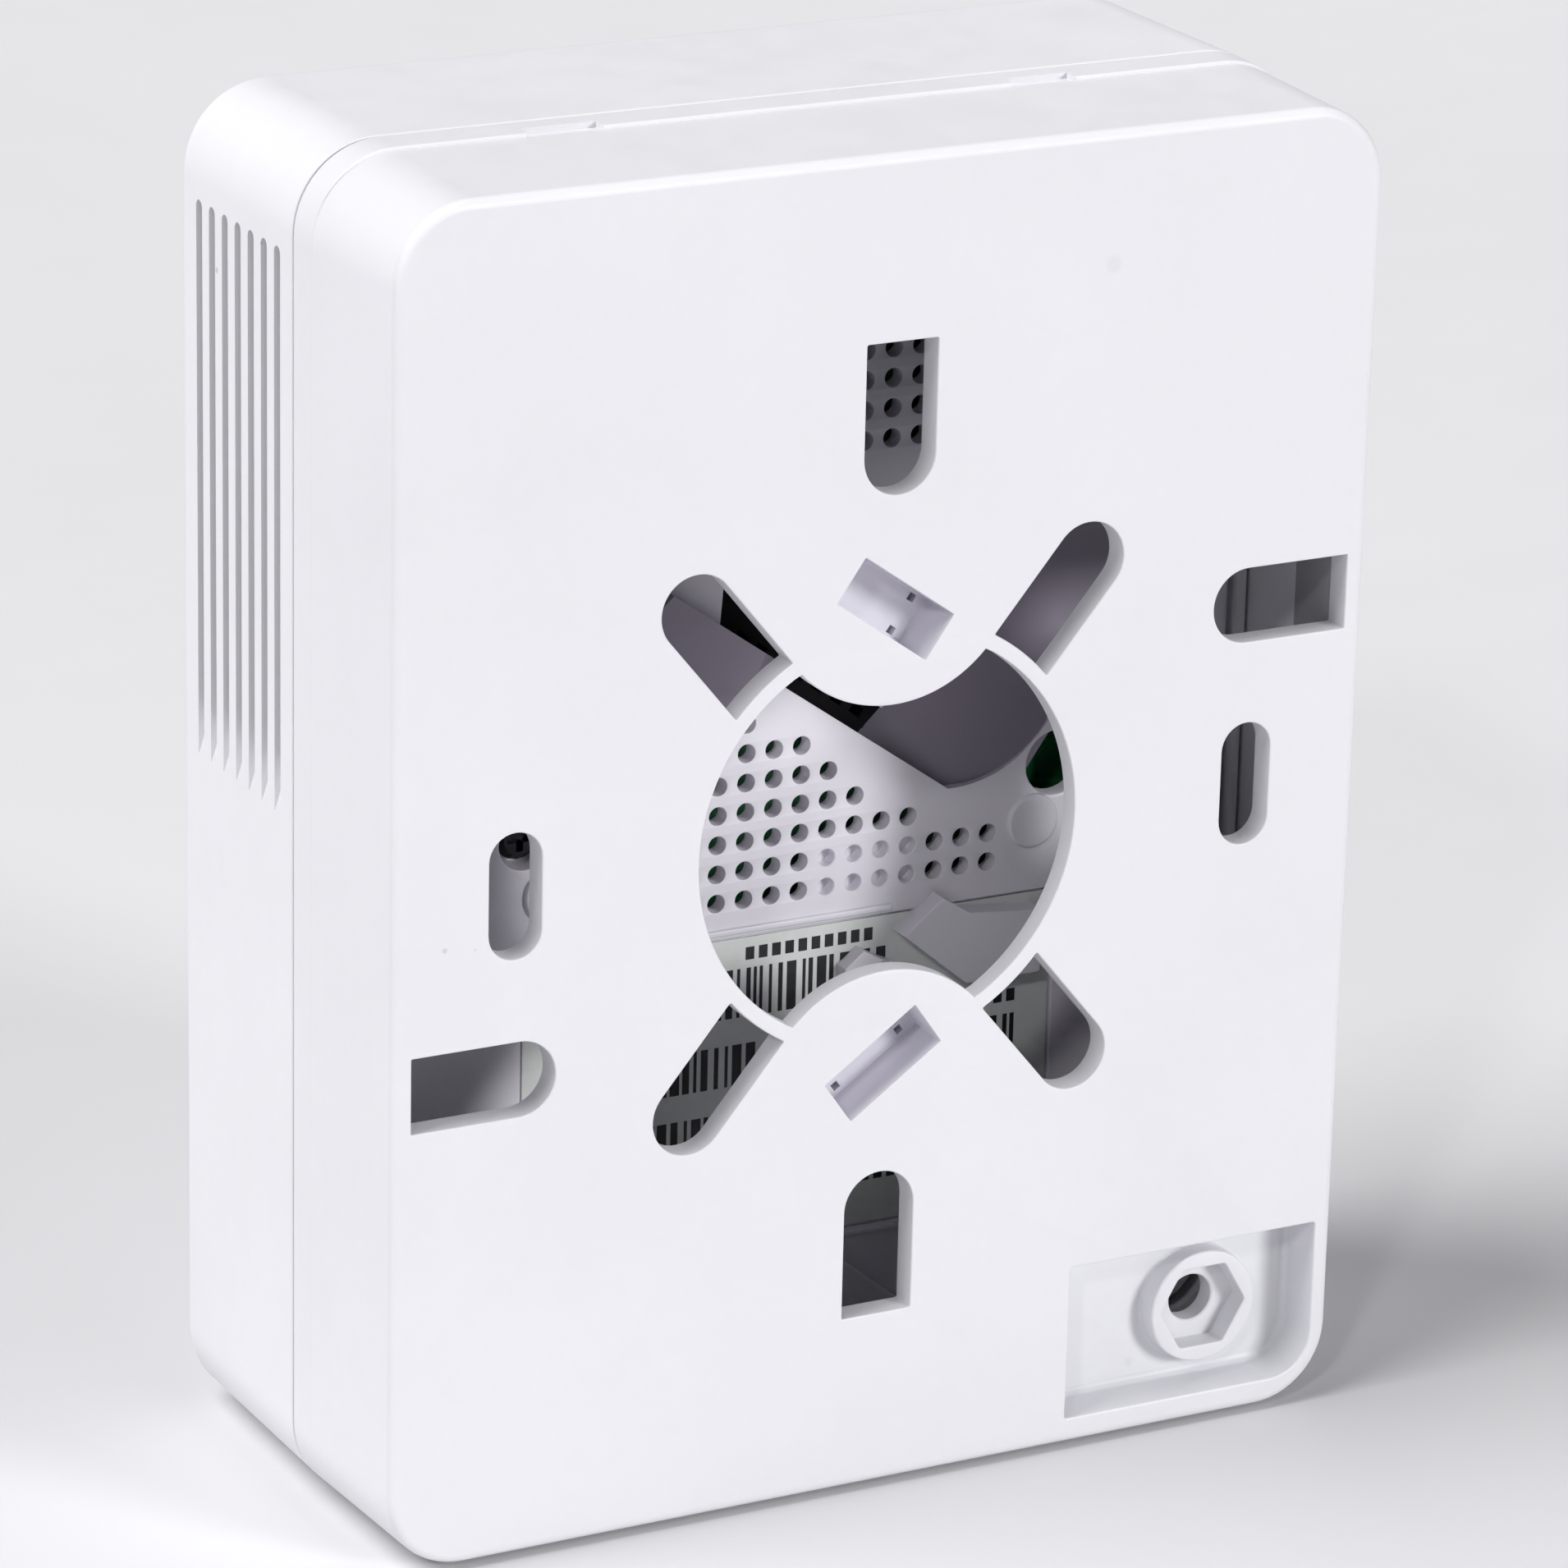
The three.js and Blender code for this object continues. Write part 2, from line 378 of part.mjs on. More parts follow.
// ------------------------------------------------------------ optical chamber
{
  // base: dished plate with a ring of bent light-stop vanes
  let c = solid(disc(CH.x, CH.z, CH.r, PF, PF - 2.0, 40));
  const n = 18;
  for (let i = 0; i < n; i++) {
    const a = 2 * Math.PI * i / n;
    const r0 = CH.r - 2.2, r1 = CH.r - 6.2;
    const P = (r, t) => [CH.x + r * Math.cos(t), CH.z + r * Math.sin(t)];
    const p = [P(r0, a), P((r0 + r1) / 2, a + 0.14), P(r1, a + 0.06), P(r1 - 0.2, a + 0.12), P((r0 + r1) / 2, a + 0.21), P(r0, a + 0.06)];
    c = add(c, solid(prism(p.reverse(), PF - 1.5, PF - 12.4)));
  }
  // cradles for emitter and receiver
  for (const s of [1, -1]) c = add(c, solid(box(CH.x + s * 10.4 - 3.6, CH.x + s * 10.4 + 3.6, PF - 1.5, PF - 8.0, CH.z - 14.6, CH.z - 6.2)));
  for (const s of [1, -1]) {
    const q = new THREE.CylinderGeometry(2.55, 2.55, 12, 16); q.rotateX(Math.PI / 2); q.translate(CH.x + s * 10.4, PF - 5.2, CH.z - 10.4);
    c = cut(c, solid(q));
  }
  node(unit, 'chamber_base', toGeometry(c), 0x17171a, 0.6);
  // cap closes the chamber's front; its skirt stands outside the vanes
  let k = solid(disc(CH.x, CH.z, CH.r - 1.2, PF - 12.8, PF - 14.8, 40));
  k = add(k, cut(solid(disc(CH.x, CH.z, CH.r - 1.2, PF - 12.9, PF - 18.0, 40)), solid(disc(CH.x, CH.z, CH.r - 3.2, PF - 12.8, PF - 20, 40))));
  node(unit, 'chamber_cap', toGeometry(k), 0x1b1b1e, 0.6);
  // insect screen band round the vanes
  let m = cut(solid(disc(CH.x, CH.z, CH.r - 0.5, PF - 2.4, PF - 12.4, 40)), solid(disc(CH.x, CH.z, CH.r - 1.0, PF - 1, PF - 14, 40)));
  node(unit, 'insect_screen', toGeometry(m), 0x9a9aa0, 0.35, 1);
  for (const [name, s, col] of [['ir_emitter', 1, 0x30304a], ['photodiode', -1, 0x202028]]) {
    const r = 2.3;
    const prof = [[0, 0], [r + 0, 0], [r, 4.6], [r * 0.9, 5.7], [r * 0.6, 6.6], [0, 7.0]];
    const g = new THREE.LatheGeometry(prof.map(([a, b]) => new THREE.Vector2(a, b)), 16);
    g.rotateX(Math.PI / 2);
    g.translate(CH.x + s * 10.4, PF - 5.2, CH.z - 13.6);
    node(unit, name, g, col, 0.15);
  }
}

// ------------------------------------------------------------ sounder
{
  let s = cut(solid(disc(SND.x, SND.z, SND.r, PF, PF - 16.5, 36)), solid(disc(SND.x, SND.z, SND.r - 1.4, PF - 5.0, PF - 15.0, 36)));
  s = cut(s, solid(disc(SND.x, SND.z, 5.0, PF - 10, PF - 20, 24)));
  s = cut(s, solid(disc(SND.x, SND.z, SND.r - 3.2, PF + 1, PF - 4.0, 30)), solid(disc(SND.x + 8, SND.z, 1.2, PF + 1, PF - 6, 8)), solid(disc(SND.x - 8, SND.z, 1.2, PF + 1, PF - 6, 8)));
  node(unit, 'sounder_housing', toGeometry(s), 0x202024, 0.5);
  node(unit, 'sounder_disc', disc(SND.x, SND.z, SND.r - 1.8, PF - 5.35, PF - 5.75, 36), 0xb8923c, 0.3, 1);
}

// ------------------------------------------------------------ back-up cell
{
  const B = BAT, z0 = B.z - B.len / 2, z1 = B.z + B.len / 2;
  const r = B.r;
  const prof = [[0, 0], [r - 0.6, 0], [r, 0.6], [r, B.len - 2.0], [r - 0.7, B.len - 1.3], [3.0, B.len - 1.3], [3.0, B.len], [0, B.len]];
  const g = new THREE.LatheGeometry(prof.map(([a, b]) => new THREE.Vector2(a, b)), 24);
  g.rotateX(Math.PI / 2);
  g.translate(B.x, B.y, z0);
  node(unit, 'backup_cell', g, 0x2f5f9e, 0.35, 0.3);
  let h = solid(box(B.x - r - 2, B.x + r + 2, PF, B.y - 1.5, z0 - 4.2, z1 + 3.2));
  const q = new THREE.CylinderGeometry(r + GAP, r + GAP, B.len + 4.6, 28); q.rotateX(Math.PI / 2); q.translate(B.x, B.y, B.z - 0.4);
  h = cut(h, solid(q), solid(box(B.x - r - GAP, B.x + r + GAP, B.y - 0.2, B.y - 12, z0 - 2.7, z1 + 1.9)));
  node(unit, 'cell_holder', toGeometry(h), 0x26262a, 0.55);
  node(unit, 'cell_contact_positive', box(B.x - 4, B.x + 4, B.y + 4, B.y - 1.4, z1 + 0.4, z1 + 0.9), 0xc9c9cc, 0.25, 1);
  // coil contact at the negative end
  const turns = 2.4, N = 34, pts = [];
  for (let i = 0; i <= N; i++) { const a = 2 * Math.PI * turns * i / N; const rr = 4.4 - 1.9 * i / N; pts.push(new THREE.Vector3(B.x + rr * Math.cos(a), B.y + rr * Math.sin(a), z0 - 2.2 + 1.75 * i / N)); }
  const c = new THREE.CatmullRomCurve3(pts);
  const sh = new THREE.Shape(); sh.absarc(0, 0, 0.22, 0, 2 * Math.PI);
  node(unit, 'cell_contact_negative', new THREE.ExtrudeGeometry(sh, { steps: 48, extrudePath: c, curveSegments: 3 }), 0xc9c9cc, 0.25, 1);
}

// ------------------------------------------------------------ electronics on the board
{
  node(unit, 'radio_module', toGeometry(add(solid(box(-14, 4, PF, PF - 0.8, -50, -30)), solid(box(-12.5, 2.5, PF - 0.7, PF - 2.8, -48.5, -36)))).translate(0, 0, -6), 0xb9bcc2, 0.3, 0.9);
  node(unit, 'microcontroller', box(-8, 2, PF, PF - 1.4, -32, -22), 0x18181a, 0.5);
  for (const [i, x, z, r, l] of [[1, 40, -18, 4, 10], [2, 40, -8, 3.2, 9]]) {
    const prof = [[0, 0], [r, 0], [r, l * 0.16], [r - 0.3, l * 0.2], [r, l * 0.24], [r, l - 0.4], [r - 0.5, l], [0, l]];
    const g = new THREE.LatheGeometry(prof.map(([a, b]) => new THREE.Vector2(a, b)), 18);
    g.rotateX(Math.PI); g.translate(x, PF, z);
    node(unit, 'capacitor_' + i, g, 0x1d2530, 0.35, 0.2);
  }
  const t = new THREE.SphereGeometry(1.3, 12, 8); t.scale(1, 1.4, 1);
  node(unit, 'thermistor', toGeometry(add(solid(t.translate(36, PF - 10, 50)), solid(box(35.1, 35.5, PF, PF - 9.2, 49.8, 50.2)), solid(box(36.5, 36.9, PF, PF - 9.2, 49.8, 50.2)))), 0x2a2a2a, 0.4);
  // supply socket on the rear of the board, behind the slanting opening
  let s = solid(prism(turned([[-10.6, -1.35], [10.6, -1.35], [10.6, 1.35], [-10.6, 1.35]], KEY_A, -1.1, 10.6), PCB_Y + GAP, PANEL_Y - 2.6));
  for (let i = -3; i <= 3; i++) s = cut(s, solid(prism(turned([[-0.7, -0.5], [0.7, -0.5], [0.7, 0.5], [-0.7, 0.5]].map(([x, z]) => [x + i * 2.8, z]), KEY_A, -1.1, 10.6), PANEL_Y, PANEL_Y - 4.4)));
  node(unit, 'supply_socket', toGeometry(s), 0x0c0c0e, 0.5);
  node(unit, 'status_led', toGeometry(add(solid(box(-20.6, -17.4, PF, PF - 1.2, BTN.z - 1.6, BTN.z + 1.6)), solid(disc(-19, BTN.z, 1.2, PF - 1.1, PF - 1.9, 12)))), 0xe8f0e0, 0.2);
}

// ------------------------------------------------------------ test button, its switch and the light ring
{
  const F = FRONT_Y + 0.4;
  // light ring fills the gap between button and cover
  let l = cut(solid(disc(BTN.x, BTN.z, BTN.r + 2.9, F, F + 2.6, 44)), solid(disc(BTN.x, BTN.z, BTN.r + 0.35, F - 1, F + 4, 44)));
  l = add(l, cut(solid(disc(BTN.x, BTN.z, BTN.r + 5.2, F + 2.3, F + 3.4, 44)), solid(disc(BTN.x, BTN.z, BTN.r + 0.35, F - 1, F + 4, 44))));
  l = add(l, solid(disc(BTN.x - 19, BTN.z, 1.4, F + 3.2, PF - 2.4, 12)));
  node(unit, 'light_ring', toGeometry(l), 0xdfeee6, 0.25);
  // button: dished cap with a central stem
  const r = BTN.r, prof = [[0, 0.9], [r * 0.5, 0.7], [r * 0.85, 0.25], [r - 0.5, 0], [r, 0.5], [r, 3.8], [r + 1.5, 3.8], [r + 1.5, 4.6], [r - 1.4, 4.6], [r - 1.4, 2.4], [2.4, 2.7], [2.4, 5.2], [0, 5.2]];
  const g = new THREE.LatheGeometry(prof.map(([a, b]) => new THREE.Vector2(a, b)), 44);
  g.translate(BTN.x, F, BTN.z);
  node(button, 'test_button', g, 0xeaeaf0, 0.5);
  // switch stand, body and plunger under the button
  const ys = F + 5.2 + GAP;            // plunger tip
  node(button, 'switch_plunger', disc(BTN.x, BTN.z, 1.7, ys, ys + 3.0, 16), 0x141416, 0.5);
  let b = solid(box(-3.2, 3.2, ys + 1.6, ys + 6.2, BTN.z - 3.2, BTN.z + 3.2));
  b = cut(b, solid(disc(BTN.x, BTN.z, 2.0, ys, ys + 4.4, 16)));
  node(unit, 'switch_body', toGeometry(b), 0xb4b6ba, 0.4, 0.5);
  node(unit, 'switch_riser', toGeometry(cut(solid(box(-4.6, 4.6, ys + 6.5, PF, BTN.z - 4.6, BTN.z + 4.6)), solid(box(-3.4, 3.4, ys + 8.0, PF + 1, BTN.z - 3.4, BTN.z + 3.4)))), 0x2c2c30, 0.6);
}

export default root;
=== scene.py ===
import bpy, bmesh, math, random
from mathutils import Vector, Matrix
from mathutils.geometry import tessellate_polygon


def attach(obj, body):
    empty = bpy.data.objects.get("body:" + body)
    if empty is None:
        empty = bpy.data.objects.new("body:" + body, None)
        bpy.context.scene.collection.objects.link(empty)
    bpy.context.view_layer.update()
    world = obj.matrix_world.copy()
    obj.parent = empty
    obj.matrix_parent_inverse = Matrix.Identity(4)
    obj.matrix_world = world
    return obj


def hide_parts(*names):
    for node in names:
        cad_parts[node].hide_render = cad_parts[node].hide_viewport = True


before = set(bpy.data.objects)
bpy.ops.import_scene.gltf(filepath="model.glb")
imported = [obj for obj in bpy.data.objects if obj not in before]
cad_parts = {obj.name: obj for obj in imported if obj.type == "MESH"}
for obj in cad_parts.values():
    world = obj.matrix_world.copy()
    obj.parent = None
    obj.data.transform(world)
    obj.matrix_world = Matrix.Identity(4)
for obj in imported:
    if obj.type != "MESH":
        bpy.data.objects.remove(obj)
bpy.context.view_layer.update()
MM = 0.001
scene = bpy.context.scene

# ---------------------------------------------------------------- dimensions, mm
BACK_HX, BACK_HZ, CORNER_R, DRAFT = 55.15, 71.2, 8.3, 0.034
EDGE_R, PLATE_T, WALL_T = 1.0, 3.0, 2.2
SEAM_Y, BAND_Y, BAND_H = -22.2, -18.0, 0.3
FRONT_Y, FRONT_R, FRONT_T, GAP = -51.6, 3.0, 2.3, 0.3
HOLE_R, LOBE_R, LOBE_Z = 21.55, 14.4, 28.65
KEY_A, KEY_Z, KEY_HL, KEY_HW, KEY_D = math.radians(35.2), 24.35, 6.25, 2.7, 5.4
SUP = (-1.1, 10.6)
DIAG_A, DIAG_C, DIAG_R, DIAG_IN = math.radians(50.3), 34.7, 4.03, 23.2
NUT = (-41.4, -59.9)
PANEL_Y = -20.3
PITCH, PERF_R, PERF_X0, PERF_Z0 = 3.2, 1.0, -0.55, 3.5
VENT_N, VENT_Y0, VENT_P, VENT_W, VENT_Z0, VENT_Z1 = 7, -26.1, 3.22, 1.5, 5.0, 61.2
BTN_Z, BTN_R = -8.0, 15.6
SND = (24.0, -40.0)

# ---------------------------------------------------------------- outline helpers (x, z)
def arc(cx, cz, r, a0, a1, n):
    return [(cx + r * math.cos(math.radians(a0 + (a1 - a0) * i / n)), cz + r * math.sin(math.radians(a0 + (a1 - a0) * i / n))) for i in range(n + 1)]

def rrect(hx, hz, r, n=10, cx=0.0, cz=0.0):
    p = []
    for sx, sz, a in ((1, 1, 0), (-1, 1, 90), (-1, -1, 180), (1, -1, 270)):
        p += arc(cx + sx * (hx - r), cz + sz * (hz - r), r, a, a + 90, n)
    return p

def turned(pts, a, cx, cz):
    return [(cx + x * math.cos(a) - z * math.sin(a), cz + x * math.sin(a) + z * math.cos(a)) for x, z in pts]

def circle(cx, cz, r, n=48):
    return arc(cx, cz, r, 0, 360 - 360 / n, n - 1)

def dslot(r, ln, n=22):
    return [(ln, -r), (ln, r)] + arc(0, 0, r, 90, 270, n)

def obround(r, half, n=16):
    return arc(0, half, r, 0, 180, n) + arc(0, -half, r, 180, 360, n)

def poly_area(p):
    return 0.5 * sum(p[i][0] * p[(i + 1) % len(p)][1] - p[(i + 1) % len(p)][0] * p[i][1] for i in range(len(p)))

def ccw(p):
    q = [p[0]]
    for a in p[1:]:
        if (a[0] - q[-1][0]) ** 2 + (a[1] - q[-1][1]) ** 2 > 1e-8:
            q.append(a)
    if (q[0][0] - q[-1][0]) ** 2 + (q[0][1] - q[-1][1]) ** 2 < 1e-8:
        q.pop()
    return q if poly_area(q) > 0 else q[::-1]

def grow(p, d):
    """Outline moved outward by d with mitred corners."""
    n, out = len(p), []
    for i in range(n):
        a, b, c = p[i - 1], p[i], p[(i + 1) % n]
        e1 = Vector((b[0] - a[0], b[1] - a[1])).normalized(); e2 = Vector((c[0] - b[0], c[1] - b[1])).normalized()
        n1, n2 = Vector((e1.y, -e1.x)), Vector((e2.y, -e2.x))
        m = (n1 + n2)
        k = max(m.length_squared, 0.6)
        m = m * (2.0 / k)
        out.append((b[0] + m.x * d, b[1] + m.y * d))
    return out

# ---------------------------------------------------------------- mesh builder
class Build:
    def __init__(self):
        self.v, self.f = [], []
    def ring(self, pts, y):
        """Adds a ring of points; y is one depth or one per point."""
        s = len(self.v)
        for i, (x, z) in enumerate(pts):
            self.v.append((x, y[i] if isinstance(y, (list, tuple)) else y, z))
        return list(range(s, s + len(pts)))
    def span(self, a, b):
        n = len(a)
        for i in range(n):
            j = (i + 1) % n
            self.f.append((a[i], a[j], b[j], b[i]))
    def fill(self, outer, holes=()):
        loops = [outer] + list(holes)
        flat = [i for l in loops for i in l]
        tris = tessellate_polygon([[Vector((self.v[i][0], self.v[i][2], 0)) for i in l] for l in loops])
        for t in tris:
            a, b, c = (flat[k] for k in t)
            if len({a, b, c}) == 3:
                self.f.append((a, b, c))
    def rings(self, pairs):
        """pairs: (outline, y); joins them in order and returns the first and last ring."""
        rs = [self.ring(p, y) for p, y in pairs]
        for a, b in zip(rs, rs[1:]):
            self.span(a, b)
        return rs[0], rs[-1]
    def prism(self, pts, y0, y1, r0=0.0, r1=0.0, n=3):
        """Closed block between y0 and y1 (y0 > y1), edges rounded by r0 at y0 and r1 at y1."""
        pts = ccw(pts)
        pr = []
        if r0:
            for i in range(n + 1):
                t = math.pi / 2 * i / n
                pr.append((grow(pts, -r0 * (1 - math.sin(t))), y0 - r0 * (1 - math.cos(t))))
        else:
            pr.append((pts, y0))
        if r1:
            for i in range(n + 1):
                t = math.pi / 2 * i / n
                pr.append((grow(pts, -r1 * (1 - math.cos(t))), y1 + r1 * (1 - math.sin(t))))
        else:
            pr.append((pts, y1))
        a, b = self.rings(pr)
        self.fill(a); self.fill(b)
    def box(self, x0, x1, y0, y1, z0, z1, r=0.0):
        self.prism([(x0, z0), (x1, z0), (x1, z1), (x0, z1)], max(y0, y1), min(y0, y1), r, r)
    def lathe_y(self, prof, cx, cz, n=48):
        """prof: (radius, y) from axis to axis, closed solid about a y axis."""
        rs = []
        for r, y in prof:
            if r < 1e-6:
                self.v.append((cx, y, cz)); rs.append([len(self.v) - 1])
            else:
                rs.append(self.ring(circle(cx, cz, r, n), y))
        for a, b in zip(rs, rs[1:]):
            if len(a) == 1 and len(b) > 1:
                for i in range(n): self.f.append((a[0], b[(i + 1) % n], b[i]))
            elif len(b) == 1 and len(a) > 1:
                for i in range(n): self.f.append((a[i], a[(i + 1) % n], b[0]))
            elif len(a) > 1:
                self.span(a, b)
    def lathe_ring(self, prof, cx, cz, n=64):
        """prof: closed loop of (radius, y) off the axis."""
        rs = [self.ring(circle(cx, cz, r, n), y) for r, y in prof]
        for a, b in zip(rs, rs[1:] + rs[:1]):
            self.span(a, b)
    def object(self, name, merge=1e-3):
        me = bpy.data.meshes.new(name)
        me.from_pydata([(x * MM, y * MM, z * MM) for x, y, z in self.v], [], self.f)
        bm = bmesh.new(); bm.from_mesh(me)
        bmesh.ops.remove_doubles(bm, verts=bm.verts, dist=merge * MM)
        bmesh.ops.dissolve_degenerate(bm, dist=1e-4 * MM, edges=bm.edges)
        bmesh.ops.recalc_face_normals(bm, faces=bm.faces)
        if bm.calc_volume(signed=True) < 0:
            bmesh.ops.reverse_faces(bm, faces=bm.faces)
        bad = [e for e in bm.edges if not e.is_manifold]
        if bad:
            print("OPEN", name, len(bad), [tuple(round(c / MM, 2) for c in e.verts[0].co) for e in bad[:6]])
        bm.to_mesh(me); bm.free()
        o = bpy.data.objects.new(name, me)
        scene.collection.objects.link(o)
        return o

def boolean(obj, other, op, solver="EXACT"):
    m = obj.modifiers.new("b", "BOOLEAN")
    m.operation, m.object, m.solver = op, other, solver
    if hasattr(m, "use_self"): m.use_self = False
    dg = bpy.context.evaluated_depsgraph_get()
    me = bpy.data.meshes.new_from_object(obj.evaluated_get(dg))
    print("BOOL", obj.name, op, other.name, len(obj.data.polygons), len(other.data.polygons), "->", len(me.polygons))
    old = obj.data
    obj.modifiers.clear(); obj.data = me; me.name = obj.name
    bpy.data.meshes.remove(old)
    bpy.data.objects.remove(other)

def bevel_sharp(obj, width, angle=40, seg=2):
    """Rounds the sharp edges of a mesh by width mm."""
    me = obj.data
    bm = bmesh.new(); bm.from_mesh(me)
    bmesh.ops.dissolve_limit(bm, angle_limit=math.radians(0.5), verts=bm.verts, edges=bm.edges)
    es = [e for e in bm.edges if e.is_manifold and e.calc_face_angle(0) > math.radians(angle)]
    bmesh.ops.bevel(bm, geom=es, offset=width * MM, offset_type="OFFSET", segments=seg, profile=0.5, affect="EDGES", clamp_overlap=True)
    bmesh.ops.triangulate(bm, faces=[f for f in bm.faces if len(f.verts) > 4])
    bm.to_mesh(me); bm.free()

def smooth(obj, angle=32):
    me = obj.data
    for p in me.polygons: p.use_smooth = True
    me.set_sharp_from_angle(angle=math.radians(angle))
    m = obj.modifiers.new("normals", "WEIGHTED_NORMAL")
    m.weight, m.keep_sharp, m.mode = 60, True, "FACE_AREA"
    return obj

def done(obj, body, mat, *nodes, slot=None, angle=32):
    obj.data.materials.clear(); obj.data.materials.append(mat)
    smooth(obj, angle)
    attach(obj, body)
    if nodes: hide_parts(*nodes)
    return obj

# ---------------------------------------------------------------- materials
def new_mat(name):
    m = bpy.data.materials.new(name); m.use_nodes = True
    nt = m.node_tree
    for n in list(nt.nodes): nt.nodes.remove(n)
    out = nt.nodes.new("ShaderNodeOutputMaterial"); b = nt.nodes.new("ShaderNodeBsdfPrincipled")
    nt.links.new(b.outputs[0], out.inputs[0])
    return m, nt, b

def noise(nt, vec, scale, detail=4, rough=0.55, dist=0.0):
    n = nt.nodes.new("ShaderNodeTexNoise")
    n.inputs["Scale"].default_value, n.inputs["Detail"].default_value = scale, detail
    n.inputs["Roughness"].default_value, n.inputs["Distortion"].default_value = rough, dist
    nt.links.new(vec, n.inputs["Vector"])
    return n.outputs["Fac"]

def ramp(nt, fac, stops):
    r = nt.nodes.new("ShaderNodeValToRGB")
    while len(r.color_ramp.elements) > 1: r.color_ramp.elements.remove(r.color_ramp.elements[0])
    for i, (p, c) in enumerate(stops):
        e = r.color_ramp.elements[0] if i == 0 else r.color_ramp.elements.new(p)
        e.position = p; e.color = (*c, 1) if len(c) == 3 else c
    nt.links.new(fac, r.inputs[0])
    return r.outputs[0]

def mathn(nt, op, a, b=None, c=None, clamp=False):
    n = nt.nodes.new("ShaderNodeMath"); n.operation = op; n.use_clamp = clamp
    for i, x in enumerate((a, b, c)):
        if x is None: continue
        if isinstance(x, (int, float)): n.inputs[i].default_value = x
        else: nt.links.new(x, n.inputs[i])
    return n.outputs[0]

def mixc(nt, fac, a, b, mode="MIX"):
    n = nt.nodes.new("ShaderNodeMix"); n.data_type = "RGBA"; n.blend_type = mode
    for s, x in ((n.inputs[0], fac), (n.inputs[6], a), (n.inputs[7], b)):
        if isinstance(x, (int, float)): s.default_value = x
        elif isinstance(x, (tuple, list)): s.default_value = (*x, 1)
        else: nt.links.new(x, s)
    return n.outputs[2]

def obj_coord(nt):
    return nt.nodes.new("ShaderNodeTexCoord").outputs["Object"]

def plastic(name, col, rough=0.5, grain=0.05, grain_scale=5200, mottle=0.02, spec=0.5, ribs=False, scuff=True, marks=(), sss=0.0, inner=None):
    """Moulded plastic: fine spark texture, slight tone drift, handling marks and dust in the grain; with inner set,
    painted shade on the hidden inner side and in the key pockets.
    """
    m, nt, b = new_mat(name)
    co = obj_coord(nt)
    sep = nt.nodes.new("ShaderNodeSeparateXYZ"); nt.links.new(co, sep.inputs[0])
    big = noise(nt, co, 38, 3, 0.5)
    mid = noise(nt, co, 420, 4, 0.6)
    fine = noise(nt, co, grain_scale, 3, 0.62)
    lo = tuple(c * (1 - mottle) for c in col); hi = tuple(min(1, c * (1 + mottle)) for c in col)
    base = ramp(nt, big, [(0.3, lo), (0.72, hi)])
    base = mixc(nt, 0.18, base, ramp(nt, mid, [(0.35, tuple(c * 0.965 for c in col)), (0.65, tuple(min(1, c * 1.02) for c in col))]))
    if scuff:
        s1 = noise(nt, co, 95, 6, 0.75, 1.4)
        sm = ramp(nt, s1, [(0.70, (0, 0, 0)), (0.79, (1, 1, 1))])
        base = mixc(nt, mathn(nt, "MULTIPLY", sm, 0.30), base, tuple(c * 0.86 for c in col))
    for (x, y, z, r, k) in marks:
        d = nt.nodes.new("ShaderNodeVectorMath"); d.operation = "DISTANCE"
        nt.links.new(co, d.inputs[0]); d.inputs[1].default_value = (x * MM, y * MM, z * MM)
        f = mathn(nt, "SUBTRACT", 1.0, mathn(nt, "DIVIDE", d.outputs["Value"], r * MM), clamp=True)
        f = mathn(nt, "MULTIPLY", mathn(nt, "SMOOTH_MIN", mathn(nt, "MULTIPLY", f, 2.2), 1.0, 0.4), k)
        base = mixc(nt, f, base, tuple(c * 0.45 for c in col))
    if inner:
        # painted shade: the hidden inner side of the shell, behind the plate and away from the pockets and corners,
        # is darkened to inner times the colour
        f = mathn(nt, "MULTIPLY", mathn(nt, "LESS_THAN", sep.outputs[1], -0.00305), mathn(nt, "MULTIPLY", mathn(nt, "LESS_THAN", mathn(nt, "ABSOLUTE", sep.outputs[0]), 0.0533), mathn(nt, "LESS_THAN", mathn(nt, "ABSOLUTE", sep.outputs[2]), 0.0694)))
        pk = mathn(nt, "MULTIPLY", mathn(nt, "LESS_THAN", sep.outputs[0], -0.0225), mathn(nt, "LESS_THAN", sep.outputs[2], -0.0505))
        kp = mathn(nt, "LESS_THAN", mathn(nt, "ABSOLUTE", mathn(nt, "SUBTRACT", mathn(nt, "ABSOLUTE", sep.outputs[2]), 0.02435)), 0.0068)
        kp = mathn(nt, "MULTIPLY", kp, mathn(nt, "LESS_THAN", mathn(nt, "ABSOLUTE", sep.outputs[0]), 0.0075))
        cn = mathn(nt, "MULTIPLY", mathn(nt, "GREATER_THAN", mathn(nt, "ABSOLUTE", sep.outputs[0]), 0.0455), mathn(nt, "GREATER_THAN", mathn(nt, "ABSOLUTE", sep.outputs[2]), 0.0615))
        f = mathn(nt, "SUBTRACT", f, mathn(nt, "ADD", mathn(nt, "ADD", pk, kp), cn), clamp=True)
        base = mixc(nt, f, base, tuple(c * inner for c in col))
        # painted shade in the key pockets: below the face their colour is made slightly darker and bluer
        base = mixc(nt, mathn(nt, "MULTIPLY", kp, mathn(nt, "LESS_THAN", sep.outputs[1], -0.0004)), base, tuple(c * k for c, k in zip(col, (0.97, 0.95, 0.995))))
    nt.links.new(base, b.inputs["Base Color"])
    rr = ramp(nt, noise(nt, co, 160, 5, 0.6, 0.5), [(0.3, (rough - 0.06,) * 3), (0.75, (rough + 0.07,) * 3)])
    nt.links.new(rr, b.inputs["Roughness"])
    b.inputs["Specular IOR Level"].default_value = spec
    if sss:
        b.inputs["Subsurface Weight"].default_value = sss
        b.inputs["Subsurface Radius"].default_value = (1.0, 0.9, 0.8)
        b.inputs["Subsurface Scale"].default_value = 0.0012
    h = mathn(nt, "MULTIPLY", fine, grain)
    h = mathn(nt, "ADD", h, mathn(nt, "MULTIPLY", mid, grain * 0.7))
    if ribs:
